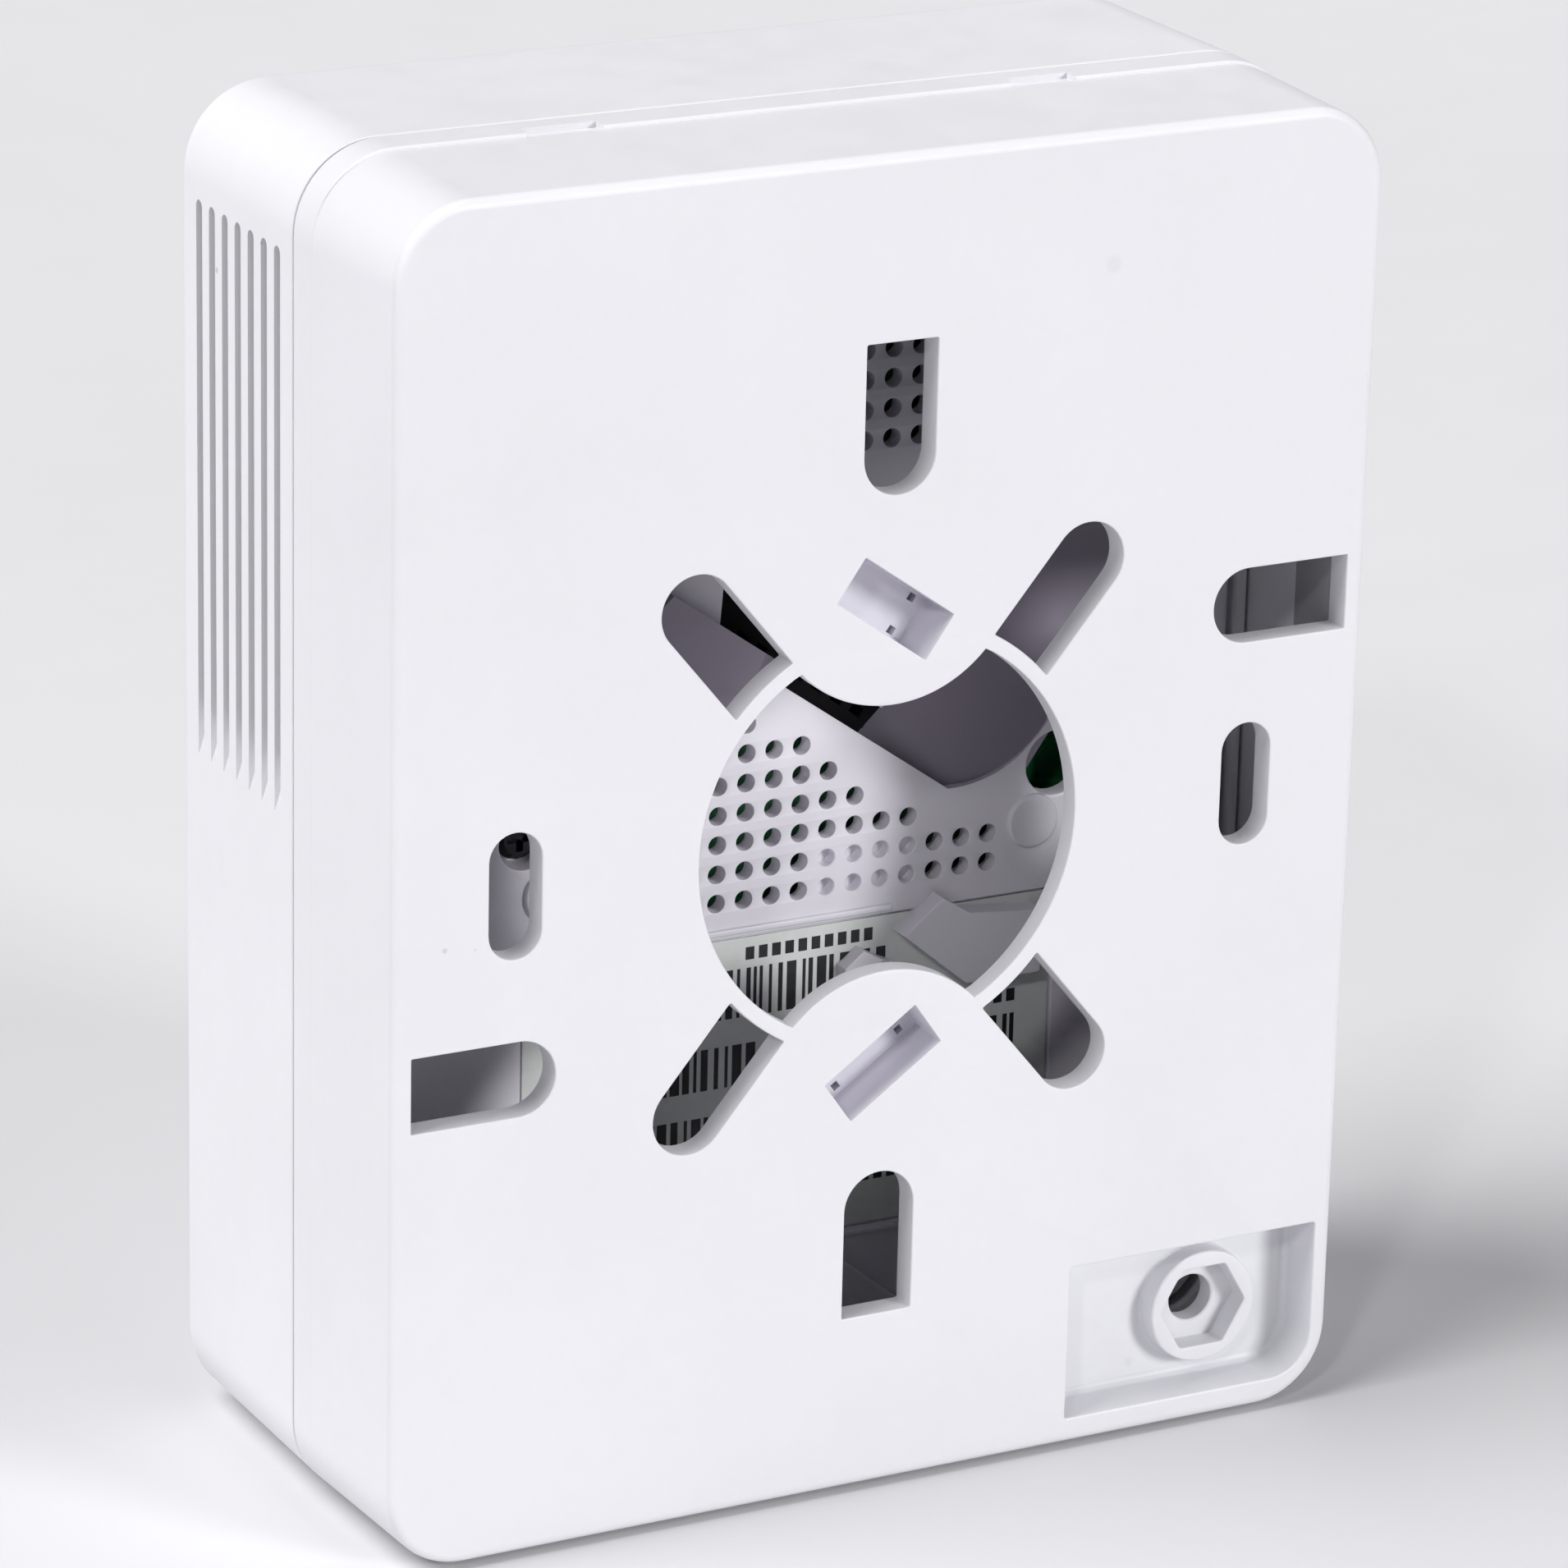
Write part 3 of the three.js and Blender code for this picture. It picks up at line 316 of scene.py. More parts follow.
        # sink marks of the inner ribs, seen as faint upright bands on the long sides
        w = nt.nodes.new("ShaderNodeMath"); w.operation = "SINE"
        nt.links.new(mathn(nt, "MULTIPLY", sep.outputs[1], 2 * math.pi / 0.00322), w.inputs[0])
        g = nt.nodes.new("ShaderNodeNewGeometry"); sn = nt.nodes.new("ShaderNodeSeparateXYZ"); nt.links.new(g.outputs["Normal"], sn.inputs[0])
        side = mathn(nt, "GREATER_THAN", mathn(nt, "ABSOLUTE", sn.outputs[0]), 0.97)
        below = mathn(nt, "SUBTRACT", 1.0, mathn(nt, "DIVIDE", mathn(nt, "ADD", sep.outputs[2], 0.012), 0.02), clamp=True)
        above = mathn(nt, "DIVIDE", mathn(nt, "ADD", sep.outputs[2], 0.060), 0.03, clamp=True)
        k = mathn(nt, "MULTIPLY", mathn(nt, "MULTIPLY", side, below), above)
        h = mathn(nt, "ADD", h, mathn(nt, "MULTIPLY", mathn(nt, "MULTIPLY", w.outputs[0], k), 0.30))
    bp = nt.nodes.new("ShaderNodeBump"); bp.inputs["Strength"].default_value = 0.35; bp.inputs["Distance"].default_value = 0.0001
    nt.links.new(h, bp.inputs["Height"]); nt.links.new(bp.outputs[0], b.inputs["Normal"])
    return m

WHITE = (0.765, 0.765, 0.797)
# inner=0.45 paints shade on the base: its hidden inner side at 0.45 of the colour, its key pockets slightly darker
M_BASE = plastic("base_plastic", WHITE, rough=0.48, ribs=True, sss=0.15, inner=0.45, marks=((-23.7, 0, 57.5, 1.1, 0.10), (49.5, 0, -4.5, 0.35, 0.35), (46.2, 0, -4.9, 0.2, 0.25), (-33.9, -5.6, -66.0, 0.7, 0.10)))
M_COVER = plastic("cover_plastic", (0.79, 0.79, 0.822), rough=0.47, ribs=True, sss=0.15, marks=((55.9, -41.0, 55.0, 0.4, 0.5), (55.9, -30.0, 60.5, 0.25, 0.5)))
M_HOUS = plastic("housing_plastic", (0.80, 0.78, 0.84), rough=0.42, grain=0.04, sss=0.1)
M_BLACK = plastic("black_plastic", (0.014, 0.014, 0.016), rough=0.5, mottle=0.25, grain=0.08)
# painted shade: a dark lavender-grey for the tray, its walls and the hood, standing in for the shadow seen through
# the openings
M_PAINTED_SHADE = plastic("housing_plastic_painted_shade", (0.28, 0.252, 0.315), rough=0.5, grain=0.04, sss=0.1)
# partly painted shade: near-black, darker and duller than the black plastic, for the socket shroud
M_VOID = plastic("socket_black", (0.006, 0.0055, 0.007), rough=0.8, mottle=0.25, grain=0.05, spec=0.12)
M_CELL = plastic("cell_sleeve", (0.02, 0.07, 0.24), rough=0.28, mottle=0.12, grain=0.02)

def metal(name, col, rough=0.3, aniso_dir=2, grain=1.0, scale=(900, 900, 40)):
    m, nt, b = new_mat(name)
    co = obj_coord(nt)
    mp = nt.nodes.new("ShaderNodeMapping"); nt.links.new(co, mp.inputs[0]); mp.inputs["Scale"].default_value = scale
    s = noise(nt, mp.outputs[0], 6, 4, 0.6)
    base = ramp(nt, s, [(0.25, tuple(c * 0.86 for c in col)), (0.75, tuple(min(1, c * 1.08) for c in col))])
    nt.links.new(base, b.inputs["Base Color"]); b.inputs["Metallic"].default_value = 1.0
    nt.links.new(ramp(nt, noise(nt, co, 300, 4, 0.6), [(0.3, (rough - 0.08,) * 3), (0.75, (rough + 0.1,) * 3)]), b.inputs["Roughness"])
    bp = nt.nodes.new("ShaderNodeBump"); bp.inputs["Strength"].default_value = 0.15 * grain; bp.inputs["Distance"].default_value = 0.00005
    nt.links.new(s, bp.inputs["Height"]); nt.links.new(bp.outputs[0], b.inputs["Normal"])
    return m

M_STEEL = metal("plated_steel", (0.62, 0.62, 0.64), 0.28)
M_MESH = metal("steel_mesh", (0.42, 0.42, 0.44), 0.35)
M_BLACKST = metal("black_steel", (0.035, 0.035, 0.04), 0.4)
M_BRASS = metal("brass_disc", (0.62, 0.42, 0.14), 0.25)

def board_mat():
    m, nt, b = new_mat("board_laminate")
    co = obj_coord(nt)
    vor = nt.nodes.new("ShaderNodeTexVoronoi"); vor.feature = "DISTANCE_TO_EDGE"; vor.inputs["Scale"].default_value = 260
    nt.links.new(co, vor.inputs["Vector"])
    tr = ramp(nt, vor.outputs[0], [(0.02, (1, 1, 1)), (0.05, (0, 0, 0))])
    c = ramp(nt, noise(nt, co, 120, 4), [(0.3, (0.010, 0.10, 0.035)), (0.7, (0.016, 0.15, 0.055))])
    c = mixc(nt, mathn(nt, "MULTIPLY", tr, 0.5), c, (0.03, 0.24, 0.09))
    nt.links.new(c, b.inputs["Base Color"])
    nt.links.new(ramp(nt, noise(nt, co, 500, 3), [(0.3, (0.26,) * 3), (0.7, (0.38,) * 3)]), b.inputs["Roughness"])
    bp = nt.nodes.new("ShaderNodeBump"); bp.inputs["Strength"].default_value = 0.3; bp.inputs["Distance"].default_value = 0.00005
    nt.links.new(tr, bp.inputs["Height"]); nt.links.new(bp.outputs[0], b.inputs["Normal"])
    return m
M_PCB = board_mat()

def clear_mat(name, col, rough, trans):
    m, nt, b = new_mat(name)
    co = obj_coord(nt)
    nt.links.new(ramp(nt, noise(nt, co, 120, 3), [(0.3, tuple(c * 0.95 for c in col)), (0.7, col)]), b.inputs["Base Color"])
    nt.links.new(ramp(nt, noise(nt, co, 260, 4), [(0.3, (rough,) * 3), (0.75, (rough + 0.10,) * 3)]), b.inputs["Roughness"])
    b.inputs["Transmission Weight"].default_value = trans
    b.inputs["IOR"].default_value = 1.49
    b.inputs["Subsurface Weight"].default_value = 0.0
    bp = nt.nodes.new("ShaderNodeBump"); bp.inputs["Strength"].default_value = 0.1; bp.inputs["Distance"].default_value = 0.00005
    nt.links.new(noise(nt, co, 2400, 3), bp.inputs["Height"]); nt.links.new(bp.outputs[0], b.inputs["Normal"])
    return m
M_CLEAR = clear_mat("clear_plastic", (0.88, 0.93, 0.91), 0.32, 0.25)
M_LENS = clear_mat("smoked_lens", (0.05, 0.045, 0.09), 0.08, 0.35)

def label_mat(name, col, rough, dark=False):
    m, nt, b = new_mat(name)
    co = obj_coord(nt)
    f = noise(nt, co, 900, 4, 0.6)
    nt.links.new(ramp(nt, f, [(0.3, tuple(c * (0.7 if dark else 0.965) for c in col)), (0.7, tuple(min(1, c * (1.4 if dark else 1.02)) for c in col))]), b.inputs["Base Color"])
    nt.links.new(ramp(nt, noise(nt, co, 300, 4), [(0.3, (rough - 0.05,) * 3), (0.7, (rough + 0.08,) * 3)]), b.inputs["Roughness"])
    bp = nt.nodes.new("ShaderNodeBump"); bp.inputs["Strength"].default_value = 0.12; bp.inputs["Distance"].default_value = 0.00004
    nt.links.new(f, bp.inputs["Height"]); nt.links.new(bp.outputs[0], b.inputs["Normal"])
    return m
M_LABEL = label_mat("label_film", (0.76, 0.785, 0.765), 0.42)
M_INK = label_mat("label_ink", (0.016, 0.015, 0.018), 0.5, True)

# ---------------------------------------------------------------- mounting base
def base_sec(y, inset, lift=0.0, n=14):
    hx, hz, r = BACK_HX - DRAFT * y, BACK_HZ - DRAFT * y, CORNER_R - DRAFT * y
    p = rrect(hx - inset, hz - inset, max(r - inset, 0.5), n)
    z0 = hz - 22
    return [(x, z + lift * (z - z0) / 22 if z > z0 else z) for x, z in p]

def central_outline():
    a = math.degrees(math.acos(10.5 / HOLE_R))
    zx = math.sqrt(HOLE_R ** 2 - 10.5 ** 2)
    b = math.degrees(math.atan2(zx - LOBE_Z, 10.5))
    p = arc(0, 0, HOLE_R, -a, a, 48)
    p += arc(0, LOBE_Z, LOBE_R, b, -180 - b, 40)
    p += arc(0, 0, HOLE_R, 180 - a, 180 + a, 48)
    p += arc(0, -LOBE_Z, LOBE_R, 180 + b, -b, 40)
    return ccw(p)

def diag_outline(sx, sz):
    a = math.atan2(sz * math.sin(DIAG_A), sx * math.cos(DIAG_A))
    s = math.sqrt(DIAG_IN ** 2 - DIAG_R ** 2)
    h = math.degrees(math.asin(DIAG_R / DIAG_IN))
    p = arc(DIAG_C, 0, DIAG_R, -90, 90, 26) + [(s, DIAG_R)] + arc(0, 0, DIAG_IN, h, -h, 10)[1:-1] + [(s, -DIAG_R)]
    return ccw(turned(p, a, 0, 0))

def round_corners(p, r, n=3):
    """Small radius on every corner sharper than 50 degrees."""
    out = []
    m = len(p)
    for i in range(m):
        a, b, c = Vector(p[i - 1]), Vector(p[i]), Vector(p[(i + 1) % m])
        e1, e2 = (b - a), (c - b)
        if e1.angle(e2) > math.radians(50) and min(e1.length, e2.length) > 0.35:
            k = min(r, e1.length * 0.45, e2.length * 0.45)
            s, t = b - e1.normalized() * k, b + e2.normalized() * k
            for j in range(n + 1):
                u = j / n
                q = s * (1 - u) ** 2 + b * 2 * u * (1 - u) + t * u * u
                out.append((q.x, q.y))
        else:
            out.append(p[i])
    return out

through = [
    turned(dslot(4.0, 11.8), math.pi / 2, 0, 40.3),
    turned(dslot(4.0, 11.8), -math.pi / 2, 0, -40.3),
    [(x + 41.8, z) for x, z in obround(2.9, 3.75)],
    [(x - 41.8, z) for x, z in obround(2.9, 3.75)],
    diag_outline(1, 1), diag_outline(-1, 1), diag_outline(-1, -1), diag_outline(1, -1),
]
through = [round_corners(ccw(p), 0.22) for p in through]
side_slots = [round_corners(ccw(p), 0.12) for p in (turned(dslot(4.0, 11.8), 0, 41.2, -19.45), turned(dslot(4.0, 11.8), math.pi, -41.2, 19.45))]

def build_base():
    B = Build()
    FIL = 0.18
    # outer skin from the wall face to the rim
    prof = []
    for i in range(7):
        t = math.pi / 2 * i / 6
        y = -EDGE_R * (1 - math.cos(t))
        prof.append((base_sec(y, EDGE_R * (1 - math.sin(t))), y))
    prof += [(base_sec(BAND_Y + 0.05, 0), BAND_Y + 0.05), (base_sec(BAND_Y - 0.02, 0.06), BAND_Y - 0.02), (base_sec(BAND_Y - 0.05, 0.06, BAND_H * 0.7), BAND_Y - 0.05), (base_sec(BAND_Y - 0.2, 0, BAND_H), BAND_Y - 0.2)]
    prof += [(base_sec(SEAM_Y + 0.18, 0, BAND_H), SEAM_Y + 0.18), (base_sec(SEAM_Y + 0.05, 0.05, BAND_H), SEAM_Y + 0.05), (base_sec(SEAM_Y, 0.18, BAND_H), SEAM_Y)]
    prof += [(base_sec(SEAM_Y, WALL_T - 0.15), SEAM_Y), (base_sec(SEAM_Y + 0.15, WALL_T), SEAM_Y + 0.15)]
    prof += [(base_sec(-PLATE_T - 0.5, WALL_T), -PLATE_T - 0.5), (base_sec(-PLATE_T - 0.1, WALL_T + 0.15), -PLATE_T - 0.1), (base_sec(-PLATE_T, WALL_T + 0.5), -PLATE_T)]
    face, inner = B.rings(prof)
    out_holes, in_holes = [], []
    for p in through:
        pr = []
        for i in range(4):
            t = math.pi / 2 * i / 3
            pr.append((grow(p, FIL * (1 - math.sin(t))), -FIL * (1 - math.cos(t))))
        pr.append((p, -PLATE_T))
        a, b = B.rings(pr)
        out_holes.append(a); in_holes.append(b)
    # central opening, its ring thinned at the inner side
    c = round_corners(central_outline(), 0.15)
    pr = []
    for i in range(4):
        t = math.pi / 2 * i / 3
        pr.append((grow(c, FIL * (1 - math.sin(t))), -FIL * (1 - math.cos(t))))
    pr += [(c, -2.34), (grow(c, 0.06), -2.4), (grow(c, 0.7), -2.4), (grow(c, 0.75), -PLATE_T)]
    a, b = B.rings(pr)
    out_holes.append(a); in_holes.append(b)
    B.fill(face, out_holes); B.fill(inner, in_holes)
    o = B.object("mounting_base_shell")
    # inner blocks: corner block, key pads, guide ribs
    A = Build()
    corner = [(-54.2, -50.5), (-54.2, -61.5)] + arc(-54.2 + 7.5, -70.2 + 7.5, 7.5, 180, 270, 8) + [(-21.1, -70.2), (-21.1, -49.1), (-52.7, -49.1)]
    A.prism(corner, -2.6, -8.0, 0, 0.4)
    for s in (1, -1):
        L, W = KEY_HL + 1.8, KEY_HW + 1.8
        A.prism(turned([(-L, -W), (L, -W), (L, W), (-L, W)], s * KEY_A, 0, s * KEY_Z), -2.6, -9.0 if s > 0 else -7.8, 0, 0.5)
    for sx in (1, -1):
        for z in (-30, 30):
            x0, x1 = sorted((sx * 51.2, sx * 54.4))
            A.prism([(x0, z - 0.8), (x1, z - 0.8), (x1, z + 0.8), (x0, z + 0.8)], -2.6, -17.0, 0, 0.2)
    boolean(o, A.object("blocks"), "UNION")
    # key pockets: flat-floored wells with softened rims and floor corners
    P_ = Build()
    for s in (1, -1):
        p = turned([(-KEY_HL, -KEY_HW), (KEY_HL, -KEY_HW), (KEY_HL, KEY_HW), (-KEY_HL, KEY_HW)], s * KEY_A, 0, s * KEY_Z)
        p = round_corners(ccw(p), 0.14)
        a, b = P_.rings([(grow(p, 0.52), 0.4), (grow(p, 0.12), 0.0), (grow(p, 0.04), -0.03), (p, -0.12), (p, -KEY_D + 0.25), (grow(p, -0.07), -KEY_D + 0.07), (grow(p, -0.25), -KEY_D)])
        P_.fill(a)
        # two small square holes run on through the floor
        hs = []
        for u, v in (((-4.36, 1.95), (-4.36, -1.95)) if s > 0 else ((-4.4, -1.78), (4.4, -1.78))):
            q = ccw(turned([(u - 0.42, v - 0.42), (u + 0.42, v - 0.42), (u + 0.42, v + 0.42), (u - 0.42, v + 0.42)], s * KEY_A, 0, s * KEY_Z))
            h0, h1 = P_.rings([(q, -KEY_D), (q, -12.0)])
            hs.append(h0); P_.fill(h1)
        P_.fill(b, hs)
    boolean(o, P_.object("key_wells"), "DIFFERENCE")
    # corner pocket with its boss, nut recess and screw hole
    C = Build()
    pk = [(-23.1, -68.4), (-23.1, -51.1), (-53.1, -51.1)] + arc(-53.1 + 4.8, -68.4 + 4.8, 4.8, 180, 270, 12)
    pk = round_corners(ccw(pk), 0.3)
    R = 0.22
    pr = [(grow(pk, R + 0.6), 0.6), (grow(pk, R), 0.0)]
    for i in range(1, 4):
        t = math.pi / 2 * i / 3
        pr.append((grow(pk, R * (1 - math.sin(t))), -R * (1 - math.cos(t))))
    for i in range(0, 4):
        t = math.pi / 2 * i / 3
        pr.append((grow(pk, -0.8 * (1 - math.cos(t))), -4.7 - 0.8 * math.sin(t)))
    top, floor = C.rings(pr)
    C.fill(top)
    boss = circle(*NUT, 6.3, 64)
    bp = []
    for i in range(4):
        t = math.pi / 2 * i / 3
        bp.append((grow(boss, 0.5 * (1 - math.sin(t))), -5.5 + 0.5 * (1 - math.cos(t))))
    for i in range(4):
        t = math.pi / 2 * i / 3
        bp.append((grow(boss, -0.3 * (1 - math.cos(t))), -3.3 + 0.3 * math.sin(t)))
    b0, b1 = C.rings(bp)
    C.fill(floor, [b0])
    hexo = ccw([(NUT[0] + 9.0 / math.sqrt(3) * math.cos(math.radians(60 * i)), NUT[1] + 9.0 / math.sqrt(3) * math.sin(math.radians(60 * i))) for i in range(6)])
    hexo = round_corners(hexo, 0.35)
    hp = []
    for i in range(4):
        t = math.pi / 2 * i / 3
        hp.append((grow(hexo, 0.2 * (1 - math.sin(t))), -3.0 - 0.2 * (1 - math.cos(t))))
    hp.append((hexo, -5.7))
    h0, h1 = C.rings(hp)
    C.fill(b1, [h0])
    hole = circle(*NUT, 2.6, 40)
    q0, q1 = C.rings([(grow(hole, 0.15), -5.7), (hole, -5.85), (hole, -12.0)])
    C.fill(h1, [q0]); C.fill(q1)
    boolean(o, C.object("pocket"), "DIFFERENCE")
    # level slots, whose outer ends run into the side walls
    for p in side_slots:
        E_ = Build()
        pr = [(grow(p, FIL + 0.5), 0.5), (grow(p, FIL), 0.0)]
        for i in range(1, 4):
            t = math.pi / 2 * i / 3
            pr.append((grow(p, FIL * (1 - math.sin(t))), -FIL * (1 - math.cos(t))))
        pr.append((p, -3.6))
        a, b = E_.rings(pr)
        E_.fill(a); E_.fill(b)
        boolean(o, E_.object("slot"), "DIFFERENCE")
    # hook notches in the rim band
    D = Build()
    zt = BACK_HZ - DRAFT * (-20)
    for x0, x1 in ((24.4, 32.8), (-29.0, -21.8)):
        D.box(x0, x1, BAND_Y + 0.3, BAND_Y - 1.9, zt - 0.35, zt + 3)
    boolean(o, D.object("cuts"), "DIFFERENCE")
    return o

base = build_base()
done(base, "base", M_BASE, "mounting_base", slot="base_plastic", angle=30)

# ---------------------------------------------------------------- front cover
HX, HZ, CR = BACK_HX - DRAFT * SEAM_Y, BACK_HZ - DRAFT * SEAM_Y, CORNER_R - DRAFT * SEAM_Y
def cov_sec(inset, lift=BAND_H, n=14):
    z0 = HZ - 22
    return [(x, z + lift * (z - z0) / 22 if z > z0 else z) for x, z in rrect(HX - inset, HZ - inset, max(CR - inset, 0.8), n)]

def build_cover():
    B = Build()
    y0 = SEAM_Y - GAP
    pr = [(cov_sec(0.30), y0), (cov_sec(0.10), y0 - 0.06), (cov_sec(0.02), y0 - 0.16), (cov_sec(0), y0 - 0.32)]
    for i in range(11):
        t = math.pi / 2 * i / 10
        pr.append((cov_sec(FRONT_R * (1 - math.cos(t))), FRONT_Y + FRONT_R * (1 - math.sin(t))))
    rim, face = B.rings(pr)
    ip = [(cov_sec(WALL_T, 0), y0), (cov_sec(WALL_T, 0), FRONT_Y + FRONT_T + 1.2), (cov_sec(WALL_T + 0.35, 0), FRONT_Y + FRONT_T + 0.35), (cov_sec(WALL_T + 1.2, 0), FRONT_Y + FRONT_T)]
    i0, i1 = B.rings(ip)
    B.fill(rim, [i0])
    outs, ins = [], []
    bo = circle(0, BTN_Z, BTN_R + 3.2, 96)
    holes = [bo]
    for i in range(-2, 3):
        holes.append(ccw([(x + SND[0] + i * 3.6, z + SND[1]) for x, z in obround(0.9, 5.2 - abs(i) * 1.1, 8)]))
    for k, p in enumerate(holes):
        r = 0.5 if k == 0 else 0.2
        pp = []
        for i in range(4):
            t = math.pi / 2 * i / 3
            pp.append((grow(p, r * (1 - math.sin(t))), FRONT_Y + r * (1 - math.cos(t))))
        pp.append((p, FRONT_Y + FRONT_T))
        a, b = B.rings(pp); outs.append(a); ins.append(b)
    B.fill(face, outs); B.fill(i1, ins)
    o = B.object("front_cover_shell")
    A = Build()
    # tongue that enters the base
    def ring_solid(a, b, ya, yb):
        o0, o1 = A.rings([(cov_sec(a, 0), ya), (cov_sec(a, 0), yb)]); n0, n1 = A.rings([(cov_sec(b, 0), ya), (cov_sec(b, 0), yb)])
        A.fill(o0, [n0]); A.fill(o1, [n1])
    ring_solid(WALL_T + 0.5, WALL_T + 1.5, y0 + 2.6, y0 - 1.0)
    C = Build()
    o0, o1 = C.rings([(cov_sec(WALL_T - 0.2, 0), y0 - 0.7), (cov_sec(WALL_T - 0.2, 0), y0 - 2.2)]); n0, n1 = C.rings([(cov_sec(WALL_T + 1.5, 0), y0 - 0.7), (cov_sec(WALL_T + 1.5, 0), y0 - 2.2)])
    C.fill(o0, [n0]); C.fill(o1, [n1])
    t = A.object("tongue"); boolean(t, C.object("collar"), "UNION"); boolean(o, t, "UNION")
    P = Build()
    for x, z in ((31, -2.6), (44, 60), (-44, 60), (0, -63)):
        P.prism(circle(x, z, 3.2, 28), -29.2, FRONT_Y + 1.5, 0.3, 0)
    boolean(o, P.object("posts"), "UNION")
    # side vents: upright slots, round at the top, running out on a ramp at the foot
    V = Build()
    for sx in (1, -1):
        for i in range(VENT_N):
            y = VENT_Y0 - i * VENT_P
            r = VENT_W / 2
            # section in (y, z), extruded along x with a sloping foot
            ol = [(r, None), (r, VENT_Z1 - r)] + [(r * math.cos(math.radians(a)), VENT_Z1 - r + r * math.sin(math.radians(a))) for a in (18, 36, 54, 72, 90, 108, 126, 144, 162)] + [(-r, VENT_Z1 - r), (-r, None)]
            xo, xi = HX + 1.0, HX - 4.0
            rings = []
            for x, zf in ((xo, VENT_Z0 - 4.2), (HX + 0.0, VENT_Z0 - 2.6), (HX - 1.0, VENT_Z0 + 0.6), (HX - 2.6, VENT_Z0 + 3.2), (xi, VENT_Z0 + 3.6)):
                s = len(V.v)
                for (dy, z) in ol:
                    V.v.append((sx * x, y + dy, zf if z is None else z))
                rings.append(list(range(s, s + len(ol))))
            for a, b in zip(rings, rings[1:]): V.span(a, b)
            V.f.append(tuple(rings[0])); V.f.append(tuple(rings[-1]))
    for x, z in ((31, -2.6), (44, 60), (-44, 60), (0, -63)):
        V.prism(circle(x, z, 1.15, 16), -29, -40)
    boolean(o, V.object("vents"), "DIFFERENCE")
    return o

cover = build_cover()
done(cover, "front_unit", M_COVER, "front_cover", slot="cover_plastic", angle=30)

# ---------------------------------------------------------------- rear housing panel
def uv(pts):
    """Points given along and across the supply opening."""
    return turned(pts, KEY_A, SUP[0], SUP[1])

def wedge(B, prof, v0, v1):
    """Closed prism: a (u, y) profile carried from v0 to v1 across the supply opening."""
    r = []
    for v in (v0, v1):
        n = len(B.v)
        for u, yy in prof:
            x, z = uv([(u, v)])[0]; B.v.append((x, yy, z))
        r.append(list(range(n, n + len(prof))))
    B.span(r[0], r[1]); B.f.append(tuple(r[0])); B.f.append(tuple(r[1]))

RAMP = round_corners(ccw([(-9.6, -1.93), (-9.6, 32), (-28.1, 32), (-28.1, 11.0)] + arc(-14.9, 9.3, 13.3, 180, 237.6, 18) + [(-21.6, -1.93)]), 0.8)

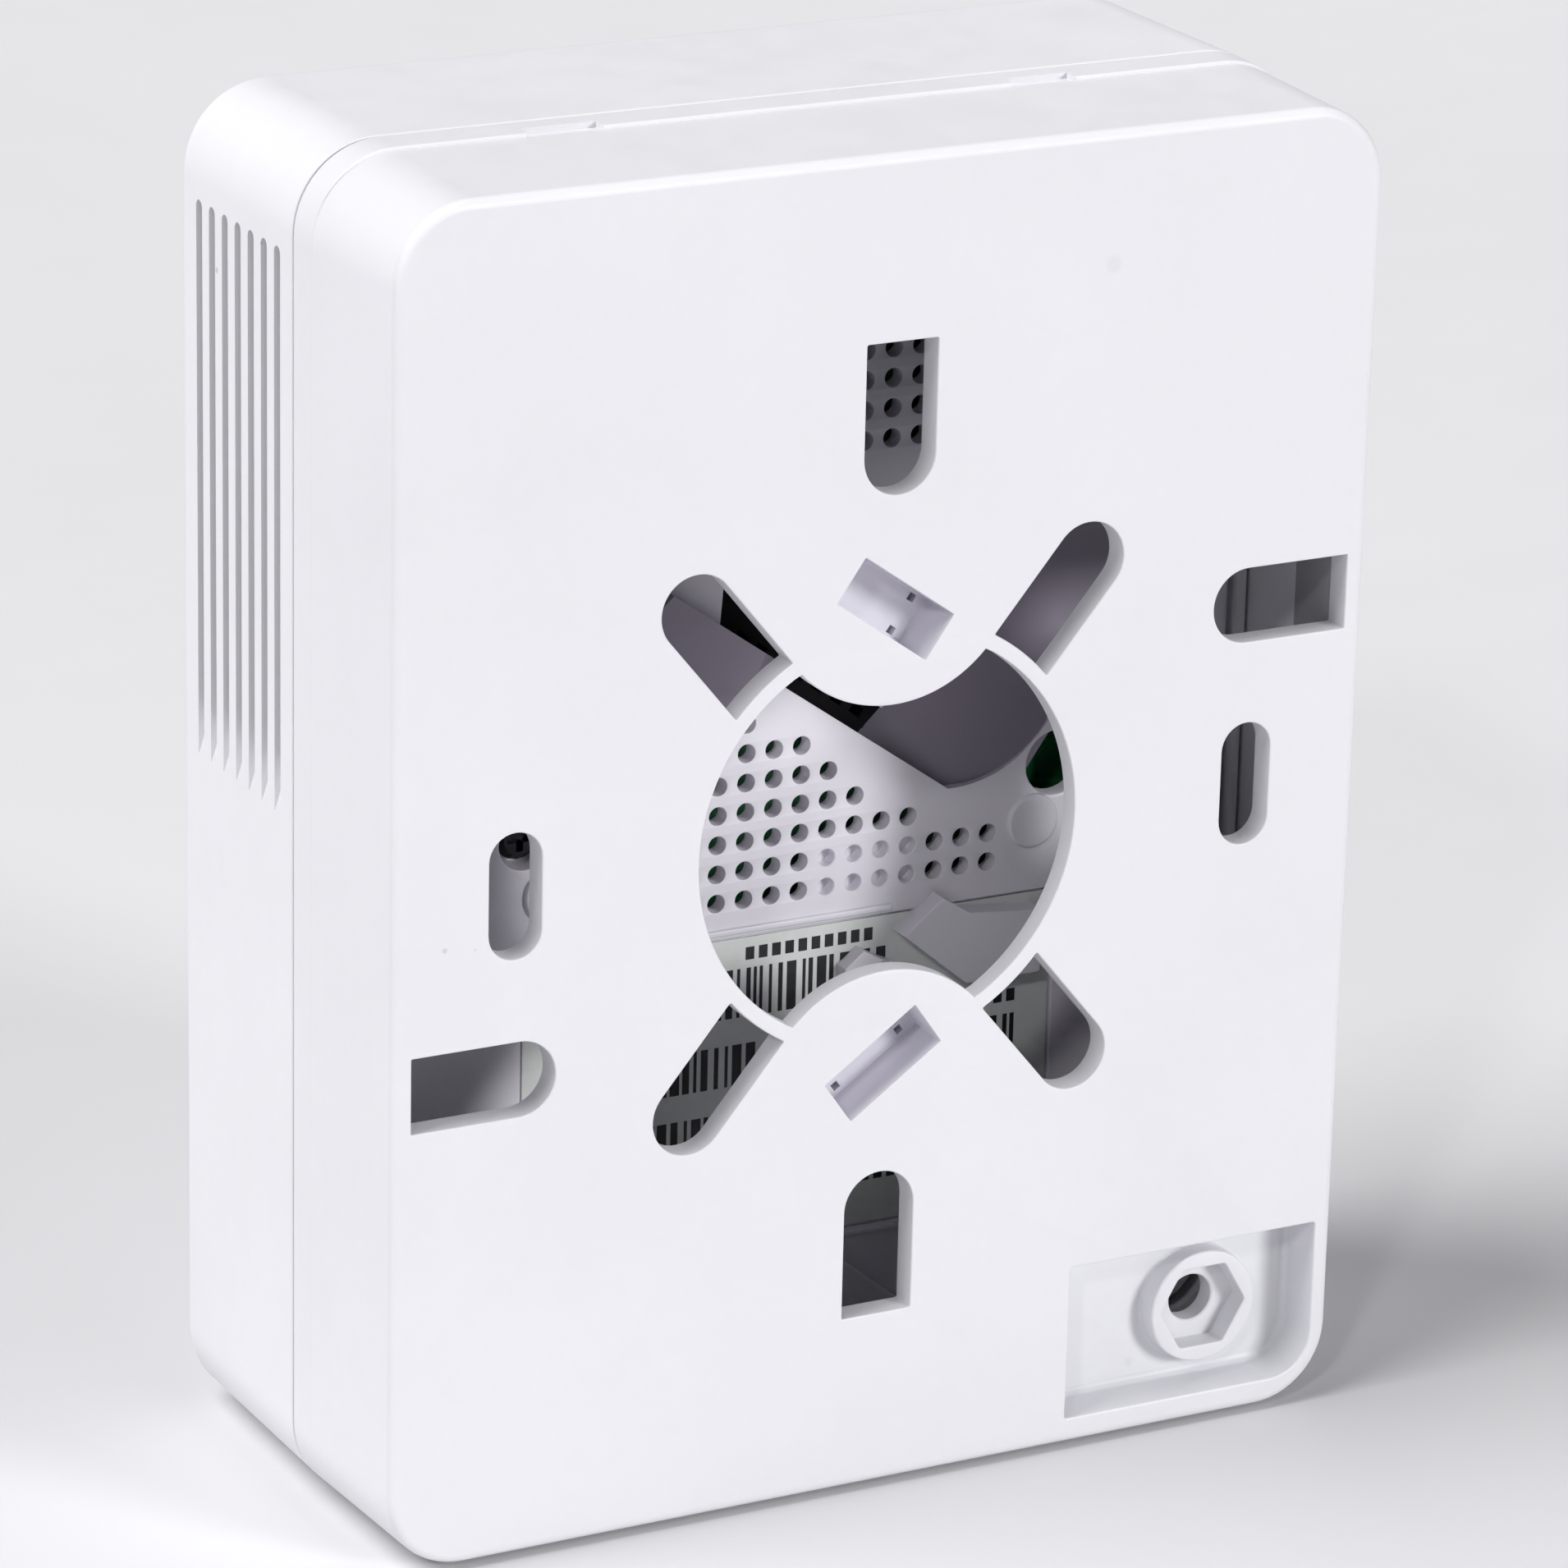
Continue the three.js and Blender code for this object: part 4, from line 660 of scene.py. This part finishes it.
def build_housing():
    B = Build()
    y, t = PANEL_Y, 2.0
    out = rrect(51.5, 67.6, 6, 8)
    pr = []
    for i in range(4):
        a = math.pi / 2 * i / 3
        pr.append((grow(ccw(out), -0.8 * (1 - math.sin(a))), y - 0.8 * (1 - math.cos(a))))
    pr.append((out, y - t))
    f0, f1 = B.rings(pr)
    outs, ins = [], []
    def thru(p, r=0.12):
        p = ccw(p)
        a, b = B.rings([(grow(p, r), y), (grow(p, r * 0.3), y - r * 0.3), (p, y - r), (p, y - t)])
        outs.append(a); ins.append(b)
    def blind(p, d, r=0.12):
        p = ccw(p)
        a, b = B.rings([(grow(p, r), y), (p, y - r), (p, y - d + 0.15), (grow(p, -0.15), y - d)])
        B.fill(b); outs.append(a)
    rows = [(-1, 2, 3), (0, 0, 4), (1, -1, 4), (2, -2, 4), (3, -4, 4), (4, -7, 4), (5, -7, 4)]
    for row, k0, k1 in rows:
        for k in range(k0, k1 + 1):
            p = circle(PERF_X0 + PITCH * k, PERF_Z0 - PITCH * row, PERF_R, 20)
            if row >= 4 and -4 <= k <= -1: blind(circle(PERF_X0 + PITCH * k, PERF_Z0 - PITCH * row, PERF_R * 0.95, 20), 1.35, 0.12)
            else: thru(p)
    for row in range(10, 16):
        for k in range(-4, 0): thru(circle(PERF_X0 + PITCH * k, PERF_Z0 + PITCH * row, PERF_R, 20))
    # supply opening
    thru(uv([(-11.3, -1.93), (12.65, -1.93), (12.65, 0), (14.9, 3.8), (5, 3.8), (3.5, 1.55), (-12.2, 1.55)]), 0.05)
    # screw wells, access hole
    for x, z in ((31, -2.6), (44, 60), (-44, 60), (0, -63)): thru(circle(x, z, 2.9, 32), 0.3)
    thru(circle(-31, -2.6, 3.5, 32), 0.5)
    # label recess
    rc = [(-31.3, -51.6), (31.3, -51.6), (31.3, -16.5), (-31.3, -16.5)]
    a, b = B.rings([(grow(rc, 0.1), y), (rc, y - 0.1), (rc, y - 0.6)])
    B.fill(b); outs.append(a)
    B.fill(f0, outs); B.fill(f1, ins)
    o = B.object("rear_housing_panel")
    # sunken ramp at the lower end of the supply opening, round at its outer end
    W = Build()
    W.prism(uv(RAMP), y + 1, y - 3.3)
    boolean(o, W.object("ramp_cutter"), "DIFFERENCE")
    A = Build()
    A.prism([(-11.5, -16.1), (31.3, -16.1), (31.3, -15.4), (-11.5, -15.4)], y + 0.45, y - 0.5, 0.2)
    for sx in (1, -1): A.prism(circle(sx * 28.2, -8.6, 3.0, 40), y + 0.5, y - 0.5, 0.35)
    S = A
    # skirt, screw seats and posts as separate closed rings under the panel
    a0, a1 = S.rings([(rrect(50.3, 66.4, 5, 6), y - 1.6), (rrect(50.3, 66.4, 5, 6), -26.4)]); b0, b1 = S.rings([(rrect(48.7, 64.8, 4, 6), y - 1.6), (rrect(48.7, 64.8, 4, 6), -26.4)])
    S.fill(a0, [b0]); S.fill(a1, [b1])
    for x, z in ((31, -2.6), (44, 60), (-44, 60), (0, -63)):
        a0, a1 = S.rings([(circle(x, z, 3.6, 28), y - 1.5), (circle(x, z, 3.6, 28), -28.9)])
        c0, c1 = S.rings([(circle(x, z, 2.9, 28), y - 1.5), (circle(x, z, 2.9, 28), y - 3.4)])
        d0, d1 = S.rings([(circle(x, z, 1.6, 20), y - 3.4), (circle(x, z, 1.6, 20), -28.9)])
        S.fill(a0, [c0]); S.fill(c1, [d0]); S.fill(a1, [d1])
    for x, z in ((40, -58), (-40, -58), (42, 10), (-42, 10)):
        S.prism(circle(x, z, 3.0, 24), y - 1.6, -26.7, 0, 0.2)
    s = S.object("rear_housing_skirt")
    return o, s

hous, skirt = build_housing()
done(hous, "front_unit", M_HOUS, "rear_housing", slot="housing_plastic", angle=30)
done(skirt, "front_unit", M_HOUS, slot="housing_plastic")

# tray under the sunken ramp, with the side wall towards the perforated field; its dark colour is painted shade for
# the upper lobe's shadow on the panel
R_T = Build()
wedge(R_T, [(-29.2, PANEL_Y - 0.15), (-29.2, PANEL_Y - 1.2), (-26, PANEL_Y - 4.2), (-9.9, PANEL_Y - 4.2), (-9.9, PANEL_Y - 3.38)], -2.5, 33)
o = R_T.object("ramp_tray"); done(o, "front_unit", M_PAINTED_SHADE, slot="housing_plastic")
# side walls of the tray, in the same painted shade colour
R_W = Build()
R_W.prism(uv([(-19, -2.7), (-10.2, -2.7), (-10.2, -1.96), (-19, -1.96)]), PANEL_Y - 1.9, PANEL_Y - 4.0)
R_W.prism(uv([(-19, 32.05), (-10.2, 32.05), (-10.2, 32.8), (-19, 32.8)]), PANEL_Y - 1.9, PANEL_Y - 4.0)
done(R_W.object("ramp_walls"), "front_unit", M_PAINTED_SHADE, slot="housing_plastic")
# wedge-shaped hood beside the upper end of the supply opening, coloured with painted shade
H = Build()
hv = [(4.7, -7.6, -0.7), (21, -7.6, -0.7), (21, 0, -0.7), (4.7, 0, -0.7), (4.7, -7.6, 0.08), (21, -7.6, 0.08), (21, 0, 3.0), (8, 0, 3.0), (4.7, 0, 0.08)]
for u, v, h in hv:
    x, z = uv([(u, v)])[0]; H.v.append((x, PANEL_Y + h, z))
H.f += [(0, 3, 2, 1), (0, 1, 5, 4), (1, 2, 6, 5), (2, 3, 8, 7, 6), (3, 0, 4, 8), (4, 5, 6, 7), (4, 7, 8)]
done(H.object("supply_hood"), "front_unit", M_PAINTED_SHADE, slot="housing_plastic")
# black shroud of the supply socket, right under the opening, with its contact slots; the socket is real, and its
# near-black colour is also painted shade for the dark depth of the opening
Z = Build()
sh = ccw(uv([(-9.85, -2.6), (15.4, -2.6), (15.4, 4.6), (1.5, 4.6), (-10.85, 2.3)]))
a0, a1 = Z.rings([(sh, PANEL_Y - 2.06), (sh, PANEL_Y - 2.5)])
ha, hb = [], []
for i in range(-3, 4):
    q = ccw(uv([(i * 2.8 - 0.7, -0.5), (i * 2.8 + 0.7, -0.5), (i * 2.8 + 0.7, 0.5), (i * 2.8 - 0.7, 0.5)]))
    m0, m1 = Z.rings([(grow(q, 0.12), PANEL_Y - 2.06), (q, PANEL_Y - 2.18), (q, PANEL_Y - 2.5)]); ha.append(m0); hb.append(m1)
Z.fill(a0, ha); Z.fill(a1, hb)
done(Z.object("socket_shroud"), "front_unit", M_VOID, slot="black_plastic")

# raised key ramp beside the label
T = Build()
tab = [(-12.0, -18.5), (-19.6, -24.9), (-28.5, -24.9), (-28.5, -17.9), (-19.8, -17.0), (-16.6, -14.9)]
T.prism(tab, PANEL_Y + 2.4, PANEL_Y - 0.55, 0.12)
done(T.object("key_ramp"), "front_unit", M_HOUS, slot="housing_plastic")
# small block above the label, corner wedge and thin rib below it
T = Build()
T.prism([(-5.45, -21.36), (-7.64, -19.68), (-9.92, -20.95), (-11.2, -21.5), (-11.2, -26.4), (-5.56, -25.42)], PANEL_Y + 1.7, PANEL_Y - 0.18, 0.15)
done(T.object("centre_block"), "front_unit", M_HOUS, slot="housing_plastic")
T = Build()
T.prism([(-4.78, -53.26), (-12.9, -60.0), (-12.97, -62.5), (-5.0, -61.04)], PANEL_Y + 2.8, PANEL_Y - 0.5, 0.2)
T.prism([(-22, -52.35), (12, -52.35), (12, -51.85), (-22, -51.85)], PANEL_Y + 0.4, PANEL_Y - 0.3, 0.1)
done(T.object("corner_wedge"), "front_unit", M_HOUS, slot="housing_plastic")

# ---------------------------------------------------------------- label with generic print
L = Build()
lab = [(-31.0, -51.3), (31.0, -51.3), (31.0, -16.8), (-31.0, -16.8)]
L.prism(lab, PANEL_Y - 0.25, PANEL_Y - 0.5, 0.03)
done(L.object("rating_label_film"), "front_unit", M_LABEL, "rating_label", slot="label_stock")
rng = random.Random(11)
K = Build()
yk0, yk1 = PANEL_Y - 0.22, PANEL_Y - 0.27
def bars(x0, x1, z0, z1):
    x = x0
    while x < x1 - 0.3:
        w = rng.choice((0.35, 0.5, 0.8, 1.1))
        K.prism([(x, z0), (min(x + w, x1), z0), (min(x + w, x1), z1), (x, z1)], yk0, yk1)
        x += w + rng.choice((0.35, 0.5, 0.75))
def blocks(x0, x1, z0, z1, w=1.0, g=0.55):
    x = x0
    while x < x1 - w:
        K.prism([(x, z0), (x + w, z0), (x + w, z1), (x, z1)], yk0, yk1)
        x += w + g
bars(-11.2, 27.0, -25.6, -20.2)
blocks(-9.6, 5.4, -19.3, -17.9)
bars(4.0, 28.0, -33.2, -28.6)
bars(6.0, 28.0, -40.2, -36.2)
bars(-27.0, -8.0, -34.2, -30.2)
blocks(-27.0, -14.0, -28.8, -27.4)
blocks(-27.0, -12.0, -38.0, -36.8)
blocks(-27.0, 3.0, -46.5, -45.3)
done(K.object("label_print"), "front_unit", M_INK, slot="label_stock")

# ---------------------------------------------------------------- front: button, light ring
F = FRONT_Y + 0.4
bt = Build()
r = BTN_R
prof = [(0, F + 0.9), (r * 0.25, F + 0.87), (r * 0.5, F + 0.72), (r * 0.7, F + 0.5), (r * 0.85, F + 0.27), (r - 1.0, F + 0.06), (r - 0.6, F), (r - 0.3, F + 0.06), (r - 0.08, F + 0.25), (r, F + 0.55), (r, F + 3.8), (r + 1.5, F + 3.8), (r + 1.5, F + 4.6), (r - 1.4, F + 4.6), (r - 1.4, F + 2.4), (2.4, F + 2.7), (2.4, F + 5.2), (0, F + 5.2)]
bt.lathe_y(prof, 0, BTN_Z, 96)
# raised dot pattern in the middle of the button
for i in range(6):
    a = math.pi * 2 * i / 6
    cx, cz = 3.4 * math.cos(a), BTN_Z + 3.4 * math.sin(a)
    bt.lathe_y([(0, F + 0.45), (0.35, F + 0.5), (0.6, F + 0.7), (0.7, F + 0.95), (0, F + 1.1)], cx, cz, 20)
bt.lathe_y([(0, F + 0.5), (0.4, F + 0.55), (0.7, F + 0.75), (0.8, F + 1.0), (0, F + 1.15)], 0, BTN_Z, 20)
done(bt.object("button_cap"), "test_button_body", M_COVER, "test_button", slot="cover_plastic")
lr = Build()
lr.lathe_ring([(BTN_R + 0.35, F + 0.25), (BTN_R + 0.6, F + 0.02), (BTN_R + 2.5, F + 0.02), (BTN_R + 2.85, F + 0.25), (BTN_R + 2.9, F + 2.3), (BTN_R + 5.2, F + 2.3), (BTN_R + 5.2, F + 3.4), (BTN_R + 0.35, F + 3.4)], 0, BTN_Z, 96)
lr.lathe_y([(0, F + 3.2), (1.4, F + 3.2), (1.4, -31.5), (1.2, -31.3), (0, -31.3)], -19, BTN_Z, 24)
done(lr.object("light_ring_pipe"), "front_unit", M_CLEAR, "light_ring", slot="clear_plastic")

# ---------------------------------------------------------------- CAD nodes that stay, with their materials
plain = {"main_circuit_board": M_PCB, "supply_socket": M_BLACK, "chamber_base": M_BLACK, "chamber_cap": M_BLACK, "insect_screen": M_MESH,
         "ir_emitter": M_LENS, "photodiode": M_LENS, "sounder_housing": M_BLACK, "sounder_disc": M_BRASS, "backup_cell": M_CELL, "cell_holder": M_BLACK,
         "cell_contact_positive": M_STEEL, "cell_contact_negative": M_STEEL, "radio_module": M_STEEL, "microcontroller": M_BLACK, "capacitor_1": M_CELL,
         "capacitor_2": M_CELL, "thermistor": M_BLACK, "status_led": M_CLEAR, "switch_plunger": M_BLACK, "switch_body": M_STEEL, "switch_riser": M_BLACK}
for i in range(1, 5):
    plain["board_screw_%d" % i] = M_STEEL; plain["housing_screw_%d" % i] = M_BLACKST
for n, m in plain.items():
    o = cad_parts[n]
    o.data.materials.clear(); o.data.materials.append(m)

# ---------------------------------------------------------------- floor, lights, camera
def stage_mat():
    m, nt, b = new_mat("floor_paper")
    co = obj_coord(nt)
    nt.links.new(ramp(nt, noise(nt, co, 3, 3), [(0.3, (0.70, 0.695, 0.71)), (0.7, (0.72, 0.715, 0.73))]), b.inputs["Base Color"])
    nt.links.new(ramp(nt, noise(nt, co, 60, 4), [(0.3, (0.75,) * 3), (0.7, (0.85,) * 3)]), b.inputs["Roughness"])
    return m
fl = bpy.data.meshes.new("floor")
S_ = 6.0; zf = -0.0720
fl.from_pydata([(-S_, -S_, zf), (S_, -S_, zf), (S_, S_, zf), (-S_, S_, zf)], [], [(0, 1, 2, 3)])
floor = bpy.data.objects.new("floor", fl); scene.collection.objects.link(floor)
fl.materials.append(stage_mat())

w = bpy.data.worlds.new("studio"); scene.world = w; w.use_nodes = True
wt = w.node_tree; bg = wt.nodes["Background"]
# dim lavender fill from above, a pale band along the horizon
tc = wt.nodes.new("ShaderNodeTexCoord"); sx_ = wt.nodes.new("ShaderNodeSeparateXYZ"); wt.links.new(tc.outputs["Generated"], sx_.inputs[0])
band = ramp(wt, mathn(wt, "ABSOLUTE", sx_.outputs[2]), [(0.0, (0.34, 0.34, 0.35)), (0.12, (0.28, 0.28, 0.29)), (0.24, (0.076, 0.070, 0.080)), (1.0, (0.076, 0.070, 0.080))])
wt.links.new(band, bg.inputs[0]); bg.inputs[1].default_value = 1.0

def sun(name, towards, level, angle, col=(1, 1, 1)):
    """A very large, far softbox; level is the light a facing white surface gets, 1 being paper white."""
    l = bpy.data.lights.new(name, "SUN"); l.energy = level * math.pi; l.angle = math.radians(angle); l.color = col
    o = bpy.data.objects.new(name, l); scene.collection.objects.link(o)
    d = Vector(towards).normalized()
    o.location = d * 1.5
    o.rotation_mode = "QUATERNION"; o.rotation_quaternion = (-d).to_track_quat("-Z", "Y")
sun("top_left_softbox", (0.56, -0.05, 0.83), 0.90, 38)
sun("right_softbox", (-0.45, 0.85, 0.30), 0.59, 17)
sun("key_spot", (0.57, 0.609, 0.553), 0.14, 5)
sun("front_softbox", (0.15, -0.93, 0.34), 0.16, 40)

cam = bpy.data.cameras.new("camera"); cam.lens = 8793.03 / 1910 * 36; cam.sensor_width = 36; cam.clip_start = 0.01; cam.clip_end = 50
co = bpy.data.objects.new("camera", cam); scene.collection.objects.link(co)
R_ = Vector((-0.88643752, 0.46231938, 0.02212050)); D_ = Vector((0.13342214, 0.30099876, -0.94424482)); F_ = Vector((-0.44320092, -0.83406267, -0.32850023))
mw = Matrix((( R_.x, -D_.x, -F_.x, 0.331893), (R_.y, -D_.y, -F_.y, 0.601576), (R_.z, -D_.z, -F_.z, 0.244528), (0, 0, 0, 1)))
co.matrix_world = mw
scene.camera = co
scene.view_settings.view_transform = "Standard"
scene.view_settings.look = "None"
